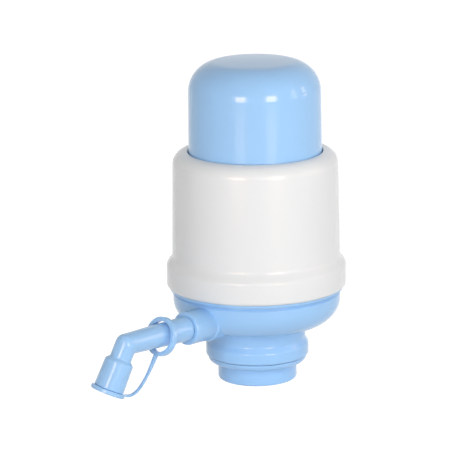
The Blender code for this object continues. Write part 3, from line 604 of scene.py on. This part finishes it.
@dataclass(frozen=True)
class Axes:
    """Where the pump's own axis and its spout lie in the frame."""

    pump: Matrix
    outlet: Matrix
    arm: Matrix
    leg: Matrix
    elbow_reach: float
    stroke: float

    @classmethod
    def of(cls, joints: Sequence[Mapping[str, Any]], mounts: Sequence[Mapping[str, Any]]) -> Axes:
        """Read the axes from the frame's joints and mounts.

        Args:
            joints: The frame's joints.
            mounts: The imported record's mounts.

        Returns:
            The pump's upright axis, the outlet's axis, the same axis turned with the spout, the axis
            of the spout's leg from the elbow, and how far the button goes down.
        """
        by_name = {joint["name"]: joint for joint in joints}
        outlet_point = Vector(by_name["spout_swivel"]["pos_m"])
        out = Vector(by_name["spout_swivel"]["axis"]).normalized()
        down_leg = Vector(by_name["cap_pull"]["axis"]).normalized()
        face = next(Vector(mount["pos_m"]) for mount in mounts if mount["name"] == "cap_face")
        side = out.cross(down_leg).normalized()
        elbow_reach = (face - outlet_point).dot(out)
        fall = down_leg - out * down_leg.dot(out)
        fall_length = (face - outlet_point - out * elbow_reach).length / fall.length
        elbow = face - down_leg * fall_length
        return cls(
            pump=Matrix.Translation(Vector((outlet_point.x, outlet_point.y, 0.0))),
            outlet=placed(outlet_point, Vector((1.0, 0.0, 0.0)), out),
            arm=placed(outlet_point, side, out),
            leg=placed(elbow, side, down_leg),
            elbow_reach=(elbow - outlet_point).dot(out),
            stroke=by_name["button_press"]["range_m"][1],
        )

    @property
    def leg_angle(self) -> float:
        """How far the leg bends down from the tube, in radians."""
        return self.arm.col[2].xyz.angle(self.leg.col[2].xyz)


def placed(origin: Vector, side: Vector, along: Vector) -> Matrix:
    """A frame at an origin, with X to one side, Z along a direction and Y upward."""
    across = along.cross(side)
    return Matrix.Translation(origin) @ Matrix((side, across, along)).transposed().to_4x4()


@dataclass
class PushButton:
    """Domed button with a flange under the casing's shoulder and a guide skirt."""

    axes: Axes
    draft: float = 0.0003
    wall: float = 0.0022
    skirt_wall: float = 0.0016
    skirt_length: float = 0.0153
    flange_width: float = 0.00245
    flange_thickness: float = 0.0020
    edge_round: float = 0.0160
    crown_slope: float = math.radians(3.55)
    crown_steps: int = 8
    edge_steps: int = 28

    def dome(self, radius: float, edge: float, top: float) -> list[Point]:
        """Outline of the dome from its middle out, a shallow crown that runs into a round edge.

        Args:
            radius: Where the edge becomes the side.
            edge: The edge's radius.
            top: Height of the middle.

        Returns:
            Points down to where the side starts.
        """
        reach = radius - edge + edge * math.sin(self.crown_slope)
        points = []
        for step in range(self.crown_steps):
            share = step / self.crown_steps
            fall = math.tan(self.crown_slope) * reach / 2 * share * share
            points.append((reach * share, top - fall))
        side_top = top - math.tan(self.crown_slope) * reach / 2 - edge * math.cos(self.crown_slope)
        start = 90 - math.degrees(self.crown_slope)
        return points + arc((radius - edge, side_top), edge, start, 0, self.edge_steps)

    def build(self) -> None:
        """Make the button and put it in its place."""
        extent = Extent.of("push_button")
        radius = extent.radius - self.flange_width
        flange_low = extent.bottom + self.skirt_length
        flange_top = flange_low + self.flange_thickness
        bore = radius - self.skirt_wall
        outline = path(
            self.dome(radius - self.draft, self.edge_round, extent.top),
            (radius, flange_top),
            (extent.radius, flange_top, FINE_ROUND),
            (extent.radius, flange_low, FINE_ROUND),
            (radius, flange_low),
            (radius, extent.bottom, LIP_ROUND),
            (bore, extent.bottom, LIP_ROUND),
            (bore, flange_top),
            (radius - self.wall, flange_top),
            self.dome(radius - self.wall, self.edge_round - self.wall, extent.top - self.wall)[::-1],
        )
        shell = turn("button_shell", rounded(outline), Segments.SHELL, self.axes.pump)
        settle(shell, LIGHT_BLUE, Body.BUTTON, "push_button")


@dataclass
class Casing:
    """White shell with a rounded shoulder, an S-shaped flare and a wide lower band."""

    axes: Axes
    wall: float = 0.0024
    band_step: float = 0.00305
    draft: float = 0.0008
    shoulder_width: float = 0.00805
    shoulder_round: float = 0.0070
    lip_round: float = 0.0007
    band_height: float = 0.0126
    band_edge_round: float = 0.0020
    rim_show: float = 0.0015
    flare_height: float = 0.0064
    snap_hold: float = 0.0005
    snap_land: float = 0.0007
    snap_ramp: float = 0.0009

    def build(self) -> None:
        """Make the casing and put it in its place."""
        extent = Extent.of("casing")
        deck = Extent.of("base_deck")
        band, top, bottom = extent.radius, extent.top, extent.bottom
        wall_radius = band - self.band_step
        top_radius = wall_radius - self.draft
        opening = top_radius - self.shoulder_width
        band_top = bottom + self.band_height
        flare_top = band_top + self.flare_height
        shoulder = (top_radius - self.shoulder_round, top - self.shoulder_round)
        skirt_bore = band - self.wall
        bore = wall_radius - self.wall
        snap = deck.radius - self.snap_hold / 2
        snap_top = deck.bottom - FIT_GAP
        ledge = deck.top + FIT_GAP
        inner_round = self.shoulder_round - self.wall
        lower = bottom + self.rim_show
        edge = (band - self.band_edge_round, lower + self.band_edge_round)
        lip = (opening + self.lip_round, top - self.lip_round)
        outline = path(
            arc(lip, self.lip_round, 180, 90, steps=8),
            arc(shoulder, self.shoulder_round, 90, 0, steps=20),
            ease((wall_radius, flare_top), (band, band_top), steps=16),
            arc(edge, self.band_edge_round, 0, -90, steps=12),
            (skirt_bore, lower),
            (skirt_bore, snap_top - self.snap_land - self.snap_ramp),
            (snap, snap_top - self.snap_land),
            (snap, snap_top),
            (skirt_bore, snap_top),
            (skirt_bore, ledge),
            (bore, ledge, LEDGE_ROUND),
            arc((shoulder[0], top - self.wall - inner_round), inner_round, 0, 90, steps=10),
            (opening, top - self.wall, FINE_ROUND),
        )
        shell = turn("casing_shell", rounded(outline), Segments.SHELL, self.axes.pump)
        settle(shell, WHITE, Body.PUMP, "casing")


@dataclass
class BaseBowl:
    """Bowl, collar and outlet stub in one moulding."""

    axes: Axes
    wall: float = 0.0022
    shelf: float = 0.0008
    rim_width: float = 0.0017
    rim_height: float = 0.0015
    rim_round: float = 0.0008
    groove_depth: float = 0.0009
    groove_height: float = 0.0022
    groove_lip_round: float = 0.0005
    corner_height: float = 0.0146
    underside_rise: float = 0.0162
    collar_bulge: float = 0.0016
    collar_straight: float = 0.0054
    collar_taper: float = 0.0042
    collar_edge_round: float = 0.0011
    neck_wall: float = 0.0015
    roof_rise: float = 0.0112
    roof_thickness: float = 0.0022
    crease_round: float = 0.0009
    air_hole_radius: float = 0.0022
    air_hole_circle: float = 0.0135
    air_hole_count: int = 3
    nipple_hole_radius: float = 0.0060
    collar_radius: float = 0.0273
    mouth_radius: float = 0.0087
    stub_projection: float = 0.01375
    stub_taper: float = 0.0001
    stub_edge_round: float = 0.0009
    root_step: float = 0.0006
    root_reach: float = 0.0425
    stub_bore: float = 0.0062

    def __post_init__(self) -> None:
        """Read the bowl's box from the frame."""
        self.extent = Extent.of("base_bowl")
        self.bowl_radius = self.extent.radius
        self.underside = self.extent.bottom + self.underside_rise
        self.roof = self.extent.bottom + self.roof_rise
        self.neck_radius = self.collar_radius - self.collar_bulge
        self.neck_bore = self.neck_radius - self.neck_wall
        self.mouth = self.bowl_radius + self.stub_projection

    def curve(self, inset: float, steps: int) -> list[Point]:
        """The rounded underside from the side in, drawn in from the outer surface by an inset."""
        centre = (self.neck_radius + self.shelf, self.underside + self.corner_height)
        width = self.bowl_radius - centre[0] - inset
        return arc(centre, width, 0, -90, steps, height=self.corner_height - inset)

    def outline(self) -> list[Point]:
        """Outline of bowl, collar and neck, with the wall's inner side."""
        collar_top = self.extent.bottom + self.collar_straight + self.collar_taper
        floor = self.underside + self.wall
        roof_top = self.roof + self.roof_thickness
        rim_low = Extent.of("casing").bottom
        rim_top = rim_low + self.rim_height
        rim = self.bowl_radius + self.rim_width
        groove = self.bowl_radius - self.groove_depth
        low = self.extent.bottom
        collar = (self.collar_radius, collar_top - self.collar_taper)
        outline = path(
            (self.bowl_radius, self.extent.top, FINE_ROUND),
            (self.bowl_radius, rim_top),
            (rim, rim_top),
            (rim, rim_low, self.rim_round),
            (groove, rim_low, FINE_ROUND),
            (groove, rim_low - self.groove_height / 2, LEDGE_ROUND),
            (self.bowl_radius, rim_low - self.groove_height, self.groove_lip_round),
            self.curve(0, steps=30),
            (self.neck_radius, self.underside, self.crease_round),
            ease((self.neck_radius, collar_top), collar, steps=12),
            (self.collar_radius, low, self.collar_edge_round),
            (self.neck_bore, low, LIP_ROUND),
            (self.neck_bore, self.roof, LIP_ROUND),
            (self.nipple_hole_radius, self.roof),
            (self.nipple_hole_radius, roof_top),
            (self.neck_bore, roof_top),
            (self.neck_bore, floor),
            self.curve(self.wall, steps=16)[::-1],
            (self.bowl_radius - self.wall, self.extent.top, FINE_ROUND),
        )
        return rounded(outline)

    def stub(self) -> bpy.types.Object:
        """The outlet stub, with a slightly wider root and a rounded mouth."""
        root = self.mouth_radius + self.stub_taper
        collar = root + self.root_step
        start = self.neck_bore + self.neck_wall / 2
        outline = path(
            (self.stub_bore, self.mouth, LIP_ROUND),
            (self.mouth_radius, self.mouth, self.stub_edge_round),
            (root, self.root_reach, FINE_ROUND),
            (collar, self.root_reach - self.root_step, FINE_ROUND),
            (collar, start),
            (self.stub_bore, start),
        )
        return turn("stub_body", rounded(outline), Segments.TUBE, self.axes.outlet)

    def build(self) -> None:
        """Make the moulding and put it in its place."""
        bowl = turn("bowl_moulding", self.outline(), Segments.SHELL, self.axes.pump)
        hole_radius = (self.stub_bore + self.mouth_radius) / 2
        hole_start = self.neck_bore - CUT_OVERRUN
        hole = [(0, hole_start), (hole_radius, hole_start), (hole_radius, self.mouth), (0, self.mouth)]
        cutters = [turn("stub_hole", hole, Segments.TUBE, self.axes.outlet)]
        combine(bowl, cutters, "DIFFERENCE")
        combine(bowl, [self.stub()], "UNION")
        low, high = self.roof - CUT_OVERRUN, self.roof + self.roof_thickness + CUT_OVERRUN
        cutters = []
        for index in range(self.air_hole_count):
            angle = math.pi / 2 + 2 * math.pi * index / self.air_hole_count
            offset = Vector((math.cos(angle), math.sin(angle), 0)) * self.air_hole_circle
            outline = [(0, low), (self.air_hole_radius, low), (self.air_hole_radius, high), (0, high)]
            place = self.axes.pump @ Matrix.Translation(offset)
            cutters.append(turn(f"air_hole_{index + 1}", outline, Segments.WIRE, place))
        combine(bowl, cutters, "DIFFERENCE")
        settle(bowl, LIGHT_BLUE, Body.PUMP, "base_bowl")


@dataclass
class NeckAdapter:
    """Stepped ring for the smaller neck, whose sleeve plugs into the collar."""

    axes: Axes
    ring_radius: float = 0.0209
    ring_wall: float = 0.0019
    ring_height: float = 0.0094
    foot_round: float = 0.0016
    flange_height: float = 0.0035
    flange_round: float = 0.0032
    sleeve_radius: float = 0.0239
    sleeve_wall: float = 0.0015
    roof: float = 0.0173
    roof_thickness: float = 0.0020
    roof_lip: float = 0.0038

    def build(self) -> None:
        """Make the adapter and put it in its place."""
        extent = Extent.of("neck_adapter")
        flange_top = self.ring_height + self.flange_height
        bore = self.ring_radius - self.ring_wall
        sleeve_bore = self.sleeve_radius - self.sleeve_wall
        roof_top = self.roof + self.roof_thickness
        flange = (extent.radius - self.flange_round, self.ring_height + self.flange_round)
        foot = (self.ring_radius - self.foot_round, self.foot_round)
        lip = bore - self.roof_lip
        outline = path(
            (self.sleeve_radius, extent.top, LEDGE_ROUND),
            (self.sleeve_radius, flange_top, FINE_ROUND),
            (extent.radius, flange_top),
            arc(flange, self.flange_round, 0, -90, steps=12),
            (self.ring_radius, self.ring_height, FINE_ROUND),
            arc(foot, self.foot_round, 0, -90, steps=10),
            (bore, 0),
            (bore, self.roof),
            (lip, self.roof, LIP_ROUND),
            (lip, roof_top, LIP_ROUND),
            (self.ring_radius, roof_top),
            (self.ring_radius, flange_top),
            (sleeve_bore, flange_top),
            (sleeve_bore, extent.top, FINE_ROUND),
        )
        adapter = turn("adapter_moulding", rounded(outline), Segments.SHELL, self.axes.pump)
        settle(adapter, LIGHT_BLUE, Body.ADAPTER, "neck_adapter")


@dataclass
class Spout:
    """Tapered tube with a spigot in the stub, a rounded elbow and a wide outlet."""

    axes: Axes
    shoulder_distance: float = 0.05815
    spigot_length: float = 0.01455
    spigot_radius: float = 0.0059
    shoulder_radius: float = 0.0066
    tube_radius: float = 0.0056
    waterway_radius: float = 0.0036
    neck_length: float = 0.0074
    step_length: float = 0.0025
    step_radius: float = 0.0075
    end_radius: float = 0.00785
    leg_length: float = 0.02415
    outlet_bore: float = 0.0058
    outlet_depth: float = 0.0080
    outer_elbow_round: float = 0.0040
    inner_elbow_round: float = 0.0016
    elbow_steps: int = 12
    groove_depth: float = 0.0015
    groove_distance: float = 0.0040
    groove_half_width: float = 0.0009

    def line_point(self, turn_angle: float, radius: float, along: float) -> Vector:
        """A point on the straight tube, or on the leg where the distance is past the elbow."""
        elbow = self.axes.elbow_reach
        frame = self.axes.arm if along <= elbow else self.axes.leg
        beyond = along if along <= elbow else along - elbow
        return frame @ Vector((radius * math.cos(turn_angle), radius * math.sin(turn_angle), beyond))

    def elbow_ring(self, turns: Sequence[float], radius: float, share: float) -> list[Vector]:
        """One ring of the elbow, where each line along the tube turns its own small corner.

        Args:
            turns: The angles round the tube.
            radius: The tube's radius.
            share: How far round the corner, from 0 to 1.

        Returns:
            The ring's points.
        """
        bend = self.axes.leg_angle
        half_tangent = math.tan(bend / 2)
        ring = []
        for angle in turns:
            rise = radius * math.sin(angle)
            outer = (1 + rise / radius) / 2
            rounding = self.inner_elbow_round + (self.outer_elbow_round - self.inner_elbow_round) * outer
            corner = self.axes.elbow_reach + rise * half_tangent
            turned = bend * share
            out = corner - rounding * half_tangent + rounding * math.sin(turned)
            up = rise - rounding * (1 - math.cos(turned))
            ring.append(self.axes.arm @ Vector((radius * math.cos(angle), up, out)))
        return ring

    def rings(self, turns: Sequence[float], outline: Sequence[Point]) -> list[list[Vector]]:
        """Rings of one surface of the spout, from the spigot to the outlet."""
        elbow = self.axes.elbow_reach
        clear = self.tube_radius
        rings = []
        for radius, along in outline:
            if abs(along - elbow) < MERGE_DISTANCE:
                for step in range(self.elbow_steps + 1):
                    rings.append(self.elbow_ring(turns, radius, step / self.elbow_steps))
            elif along < elbow - clear or along > elbow + clear:
                rings.append([self.line_point(angle, radius, along) for angle in turns])
        return rings

    def outer(self) -> list[Point]:
        """Outline of the outer side, as if the tube were straight."""
        elbow = self.axes.elbow_reach
        spigot_end = self.shoulder_distance - self.spigot_length
        groove = spigot_end + self.groove_distance
        low, high = groove - self.groove_half_width, groove + self.groove_half_width
        step = elbow + self.neck_length
        neck = self.spigot_radius - self.groove_depth
        leg_end = elbow + self.leg_length
        outline = path(
            (self.waterway_radius, spigot_end),
            (self.spigot_radius, spigot_end, FINE_ROUND),
            (self.spigot_radius, low),
            (neck, low),
            (neck, high),
            (self.spigot_radius, high),
            (self.spigot_radius, self.shoulder_distance),
            (self.shoulder_radius, self.shoulder_distance, LIP_ROUND),
            (self.tube_radius, elbow),
            ease((self.tube_radius, step), (self.step_radius, step + self.step_length), steps=12),
            (self.end_radius, leg_end, LIP_ROUND),
            (self.outlet_bore, leg_end, FINE_ROUND),
        )
        return rounded(outline)

    def inner(self) -> list[Point]:
        """Outline of the waterway, from the outlet back, as if the tube were straight."""
        elbow = self.axes.elbow_reach
        step = elbow + self.leg_length - self.outlet_depth
        return [(self.outlet_bore, step), (self.waterway_radius, step), (self.waterway_radius, elbow)]

    def build(self) -> None:
        """Make the spout and put it in its place."""
        turns = Segments.TUBE.turns()
        rings = self.rings(turns, self.outer())
        rings += self.rings(turns, self.inner()[::-1])[::-1]
        settle(skin("spout_moulding", rings), LIGHT_BLUE, Body.ARM, "spout")


@dataclass
class Tether:
    """Loose ring on the spout, and the strap from it to the cap."""

    axes: Axes
    ring_outer_radius: float = 0.0102
    ring_thickness: float = 0.0022
    ring_width: float = 0.0032
    ring_edge_round: float = 0.0005
    ring_distance: float = 0.0765
    ring_drop: float = 0.0008
    ring_tilt: float = math.radians(12.0)
    ring_turn: float = math.radians(-7.0)
    strap_width: float = 0.0016
    strap_thickness: float = 0.0012
    strap_root_thickness: float = 0.0024
    strap_root_share: float = 0.16
    strap_edge_round: float = 0.00035
    strap_steps: int = 60
    strap_corner_steps: int = 4
    cap_pull: float = 0.0080
    ring_pull: float = 0.0290
    ring_lean: float = math.radians(20.0)
    cap_radius: float = 0.0091
    cap_middle: float = 0.0253

    def ring_place(self) -> Matrix:
        """Where the ring stands on the tube, leaning the way that the strap holds it."""
        centre = Matrix.Translation(Vector((0, -self.ring_drop, self.ring_distance)))
        tilted = Matrix.Rotation(-self.ring_tilt, 4, "X")
        return self.axes.arm @ centre @ Matrix.Rotation(self.ring_turn, 4, "Y") @ tilted

    def build(self) -> None:
        """Make the ring and the strap and put them in their places."""
        inner = self.ring_outer_radius - self.ring_thickness
        half, edge = self.ring_width / 2, self.ring_edge_round
        outer = self.ring_outer_radius
        outline = path((outer, half, edge), (outer, -half, edge), (inner, -half, edge), (inner, half, edge))
        ring = turn("ring_moulding", rounded(outline), Segments.RING, self.ring_place())
        settle(ring, LIGHT_BLUE, Body.ARM, "tether_ring")
        self.build_strap()

    def route(self) -> list[Point]:
        """Points along the strap in the spout's plane, as (distance out, height)."""
        leg_angle = self.axes.leg_angle
        ring_centre = Vector((self.ring_distance, -self.ring_drop))
        ring_out = Vector((math.sin(self.ring_tilt), -math.cos(self.ring_tilt)))
        start = ring_centre + ring_out * (self.ring_outer_radius - self.ring_edge_round)
        leg_out = Vector((math.cos(leg_angle), -math.sin(leg_angle)))
        cap_in = Vector((-math.sin(leg_angle), -math.cos(leg_angle)))
        elbow = Vector((self.axes.elbow_reach, 0.0))
        end = elbow + leg_out * self.cap_middle + cap_in * (self.cap_radius - self.ring_edge_round)
        start_pull = start + Vector((math.sin(self.ring_lean), -math.cos(self.ring_lean))) * self.ring_pull
        end_pull = end + cap_in * self.cap_pull
        points = []
        for step in range(self.strap_steps + 1):
            share = step / self.strap_steps
            rest = 1 - share
            point = start * rest**3 + start_pull * (3 * rest**2 * share)
            point += end_pull * (3 * rest * share**2) + end * share**3
            points.append((point.x, point.y))
        return points

    def build_strap(self) -> None:
        """Sweep a flat section with rounded edges along the strap's route."""
        route = [Vector(point) for point in self.route()]
        half_width = self.strap_width / 2
        rings = []
        for index, point in enumerate(route):
            before = route[max(index - 1, 0)]
            after = route[min(index + 1, len(route) - 1)]
            ahead = (after - before).normalized()
            across = Vector((-ahead.y, ahead.x))
            swell = soft_step(max(0.0, 1 - index / len(route) / self.strap_root_share))
            half = (self.strap_thickness + (self.strap_root_thickness - self.strap_thickness) * swell) / 2
            edge = self.strap_edge_round
            sides = [(1, 1), (-1, 1), (-1, -1), (1, -1)]
            section = [Corner(half_width * right, half * up, edge) for right, up in sides]
            ring = []
            for sideways, rise in rounded(section, self.strap_corner_steps):
                place = point + across * rise
                ring.append(self.axes.arm @ Vector((sideways, place.y, place.x)))
            rings.append(ring)
        first = sum(rings[0], Vector()) / len(rings[0])
        last = sum(rings[-1], Vector()) / len(rings[-1])
        rings = [[first] * len(rings[0])] + rings + [[last] * len(rings[-1])]
        strap = skin("strap_moulding", rings, closed=False)
        smooth(strap)
        dress(strap, LIGHT_BLUE)
        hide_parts("tether_strap")
        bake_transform(strap)
        log.info("%s bends between %s and %s", strap.name, Body.ARM.value, Body.CAP.value)


@dataclass
class OutletCap:
    """Thin disc with a hollow plug that closes the outlet."""

    axes: Axes
    face: float = 0.0242
    radius: float = 0.0091
    thickness: float = 0.0023
    edge_round: float = 0.0006
    plug_length: float = 0.0055
    plug_radius: float = 0.0055
    plug_wall: float = 0.0011

    def build(self) -> None:
        """Make the cap and put it in its place."""
        back = self.face + self.thickness
        plug_end = self.face - self.plug_length
        bore = self.plug_radius - self.plug_wall
        outline = path(
            (0, back),
            (self.radius, back, self.edge_round),
            (self.radius, self.face, self.edge_round),
            (self.plug_radius, self.face),
            (self.plug_radius, plug_end, LIP_ROUND),
            (bore, plug_end),
            (bore, self.face),
            (0, self.face),
        )
        cap = turn("cap_moulding", rounded(outline), Segments.TUBE, self.axes.leg)
        settle(cap, LIGHT_BLUE, Body.CAP, "outlet_cap")


@dataclass
class InnerWorks:
    """The pieces inside, among them the bellows and the spring that the button squeezes."""

    axes: Axes
    folds: int = 6
    fold_depth: float = 0.0040
    bellows_radius: float = 0.02805
    bellows_wall: float = 0.0010
    rim_thickness: float = 0.0014
    fold_round: float = 0.0009
    fold_steps: int = 4
    spring_radius: float = 0.0170
    wire_radius: float = 0.0008
    spring_turns: int = 8
    points_per_turn: int = 40

    def build(self) -> None:
        """Make the bellows and the spring, and dress the solids that stay."""
        self.build_bellows()
        self.build_spring()
        self.dress_solids()

    def shorten(self, piece: bpy.types.Object) -> None:
        """Give a piece a mesh of its own."""
        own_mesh(piece)

    def build_bellows(self) -> None:
        """Folded tube that is open at both ends, with a flat rim at each."""
        extent = Extent.of("bellows")
        low, high = extent.bottom + self.rim_thickness, extent.top - self.rim_thickness
        pitch = (high - low) / self.folds
        peak, valley = self.bellows_radius, self.bellows_radius - self.fold_depth
        wall, edge = self.bellows_wall, self.fold_round
        outer = path((peak, extent.top, FINE_ROUND), (peak, high), (valley, high))
        inner = path((valley - wall, extent.top))
        for fold in range(self.folds):
            top = high - fold * pitch
            outer += path((peak, top - pitch / 2, edge), (valley, top - pitch, edge))
            inner += path((peak - wall, top - pitch / 2, edge), (valley - wall, top - pitch, edge))
        outer += path((extent.radius, low, FINE_ROUND), (extent.radius, extent.bottom))
        outer += path((valley - wall, extent.bottom))
        outline = rounded(outer + inner[::-1], self.fold_steps)
        bellows = turn("bellows_folds", outline, Segments.TUBE, self.axes.pump)
        settle(bellows, SILICONE, Body.PUMP, "bellows")
        self.shorten(bellows)

    def build_spring(self) -> None:
        """Steel coil inside the bellows, from the deck to the push plate."""
        extent = Extent.of("return_spring")
        low, high = extent.bottom + self.wire_radius, extent.top - self.wire_radius
        count = self.spring_turns * self.points_per_turn
        rings = []
        for index in range(count + 1):
            angle = 2 * math.pi * index / self.points_per_turn
            height = low + (high - low) * index / count
            outward = Vector((math.cos(angle), math.sin(angle), 0))
            centre = outward * self.spring_radius + Vector((0, 0, height))
            up = Vector((0, 0, 1))
            ring = []
            for turned in Segments.WIRE.turns():
                spoke = (outward * math.cos(turned) + up * math.sin(turned)) * self.wire_radius
                ring.append(self.axes.pump @ (centre + spoke))
            if index in (0, count):
                middle = [self.axes.pump @ centre] * len(ring)
                rings += [middle, ring] if index == 0 else [ring, middle]
            else:
                rings.append(ring)
        spring = skin("spring_coil", rings, closed=False)
        settle(spring, STEEL, Body.PUMP, "return_spring")
        self.shorten(spring)

    def dress_solids(self) -> None:
        """Give the solids that stay their finishes."""
        finishes = {
            NATURAL: ["push_plate", "bellows_clamp_ring", "base_deck", "water_channel"],
            SILICONE: ["inlet_valve", "outlet_valve", "large_neck_gasket", "small_neck_gasket"],
            RUBBER: ["deck_gasket", "channel_o_ring", "spout_o_ring"],
            STEEL: ["base_screw_1", "base_screw_2", "base_screw_3", "base_screw_4"],
        }
        for finish, names in finishes.items():
            for name in names:
                dress(bpy.data.objects[name], finish)
                log.info("%s keeps its solid", name)


@dataclass(frozen=True)
class SoftBox:
    """A rectangular lamp that faces the pump's middle."""

    name: str
    azimuth: float
    elevation: float
    width: float
    height: float
    power: float
    in_gloss: bool = False
    in_diffuse: bool = True
    distance: float = STUDIO_DISTANCE
    colour: Colour = PURE_WHITE

    def build(self, target: Vector, camera_azimuth: float) -> None:
        """Hang the lamp around a target.

        Args:
            target: What it faces.
            camera_azimuth: The bearing that the lamp's azimuth is counted from, in degrees.
        """
        light = bpy.data.lights.new(self.name, "AREA")
        light.shape = "RECTANGLE"
        light.size = self.width
        light.size_y = self.height
        light.energy = self.power
        light.color = self.colour
        lamp = bpy.data.objects.new(self.name, light)
        direction = bearing(camera_azimuth + self.azimuth, self.elevation)
        lamp.location = target + direction * self.distance
        lamp.rotation_euler = direction.to_track_quat("Z", "Y").to_euler()
        lamp.visible_glossy = self.in_gloss
        lamp.visible_diffuse = self.in_diffuse
        lamp.visible_camera = False
        bpy.context.scene.collection.objects.link(lamp)


def bearing(azimuth: float, elevation: float) -> Vector:
    """Unit vector away from the pump, for angles in degrees; azimuth 0 is on the spout's side."""
    turned, raised = math.radians(azimuth), math.radians(elevation)
    level = math.cos(raised)
    return Vector((math.sin(turned) * level, -math.cos(turned) * level, math.sin(raised)))


@dataclass
class Studio:
    """Camera, lamps, white surroundings and floor."""

    target: Vector
    azimuth: float = 40.5
    elevation: float = 13.7
    distance: float = STUDIO_DISTANCE
    lens: float = 271.75
    sensor: float = 36.0
    roll: float = math.radians(0.73)
    aim_offset: float = 0.01582
    clip_start: float = 0.05
    clip_end: float = 50.0
    floor_radii: tuple[float, ...] = (0.0, 0.3, 1.0, 3.0, 6.0)
    surround: float = 0.2
    paper: float = 0.8
    shaded_paper: float = 0.25
    paper_glow: float = 0.95
    shine_colour: Colour = (1.0, 0.68, 0.50)

    def build(self) -> None:
        """Set up everything around the pump."""
        self.place_camera()
        self.paint_world()
        self.lay_floor()
        for lamp in self.lamps():
            lamp.build(self.target, self.azimuth)
        bpy.context.scene.view_settings.view_transform = "Standard"

    def lamps(self) -> list[SoftBox]:
        """The lamps that light the pump, and those that only show in its gloss."""
        lights = [
            SoftBox("key_left", -28.0, 9.0, 0.44, 1.0, 5.9),
            SoftBox("key_right", 28.0, 9.0, 0.44, 1.0, 6.1),
            SoftBox("front_high", 0.0, 33.0, 1.2, 0.8, 8.3),
            SoftBox("front_low", 0.0, -3.0, 1.2, 0.5, 14.6),
            SoftBox("side_right", 85.0, 20.0, 0.8, 1.2, 9.2),
            SoftBox("top", 0.0, 72.0, 1.5, 1.5, 0.3),
            SoftBox("back_left", -140.0, 15.0, 0.8, 1.2, 3.8),
            SoftBox("back_right", 140.0, 15.0, 0.8, 1.2, 3.8),
            SoftBox("back", 180.0, 2.0, 1.2, 1.0, 6.5),
        ]
        shine = [
            SoftBox("shine_left", -24.8, 3.5, 0.50, 0.74, 10.4),
            SoftBox("halo_left", -24.8, 4.0, 0.78, 0.98, 6.0),
            SoftBox("shine_right", 28.0, 4.0, 0.52, 0.86, 12.4),
            SoftBox("halo_right", 27.6, 5.0, 0.80, 1.12, 7.0),
            SoftBox("streak_left", -24.5, -4.0, 0.14, 0.045, 0.036, distance=0.45),
            SoftBox("streak_right", 27.0, -4.0, 0.14, 0.045, 0.038, distance=0.45),
        ]
        for azimuth in (72.0, 96.0):
            for elevation in (2.0, 11.0, 20.0):
                shine.append(SoftBox("window_pane", azimuth, elevation, 0.30, 0.18, 0.75))
        return lights + [
            replace(lamp, in_gloss=True, in_diffuse=False, colour=self.shine_colour) for lamp in shine
        ]

    def place_camera(self) -> None:
        """Look at the pump from the photographed side, with its slight lean."""
        back = bearing(self.azimuth, self.elevation)
        level = Vector((0, 0, 1)).cross(back).normalized()
        upright = back.cross(level)
        right = level * math.cos(self.roll) - upright * math.sin(self.roll)
        up = level * math.sin(self.roll) + upright * math.cos(self.roll)
        place = self.target - right * self.aim_offset + back * self.distance
        data = bpy.data.cameras.new("camera")
        data.lens = self.lens
        data.sensor_width = self.sensor
        data.clip_start, data.clip_end = self.clip_start, self.clip_end
        camera = bpy.data.objects.new("camera", data)
        turned = Matrix((right, up, back)).transposed().to_4x4()
        camera.matrix_world = Matrix.Translation(place) @ turned
        bpy.context.scene.collection.objects.link(camera)
        bpy.context.scene.camera = camera

    def paint_world(self) -> None:
        """White to the eye and in reflections, and softer as light on the pump."""
        world = bpy.data.worlds.new("studio")
        world.use_nodes = True
        bpy.context.scene.world = world
        graph = Graph(world.node_tree)
        strength = graph.seen() * (1 - self.surround) + self.surround
        sockets = {"Color": shade(PURE_WHITE, 1), "Strength": strength}
        light = graph.node("ShaderNodeBackground", None, sockets)
        graph.add("ShaderNodeOutputWorld", None, {"Surface": light})

    def lay_floor(self) -> None:
        """A wide pale floor that shows white and still takes the pump's shadow."""
        centre = Vector((self.target.x, self.target.y, 0))
        spokes = [Vector((math.cos(angle), math.sin(angle), 0)) for angle in Segments.FLOOR.turns()]
        rings = [[centre + spoke * radius for spoke in spokes] for radius in self.floor_radii]
        floor = skin("floor", rings, closed=False)
        floor.data.materials.append(self.floor_material())

    def floor_material(self) -> bpy.types.Material:
        """White paper: part of its brightness comes from the lamps, and so carries the shadow."""
        material = bpy.data.materials.new("white_paper")
        material.use_nodes = True
        graph = Graph(material.node_tree)
        paper, faint = (
            graph.node("ShaderNodeBsdfDiffuse", None, {"Color": shade(PURE_WHITE, factor)})
            for factor in (self.paper, self.shaded_paper)
        )
        glow_sockets = {"Color": shade(PURE_WHITE, 1), "Strength": self.paper_glow}
        glow = graph.node("ShaderNodeEmission", None, glow_sockets)
        bright = graph.node("ShaderNodeAddShader", None, {0: faint, 1: glow})
        shader = graph.node("ShaderNodeMixShader", None, {0: graph.seen(), 1: paper, 2: bright})
        graph.add("ShaderNodeOutputMaterial", None, {"Surface": shader})
        return material


def main() -> None:
    """Load the frame, dress the pump and set up the studio."""
    logging.basicConfig(level=logging.INFO, format="%(name)s: %(message)s")
    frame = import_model()
    axes = Axes.of(frame["joints"], frame["record"]["mounts"])
    makers: list[Callable[[Axes], Any]] = [
        PushButton, Casing, BaseBowl, NeckAdapter, Spout, Tether, OutletCap, InnerWorks
    ]
    for maker in makers:
        maker(axes).build()
    foot = axes.pump.translation
    Studio(target=Vector((foot.x, foot.y, AIM_HEIGHT))).build()


if __name__ == "__main__":
    main()
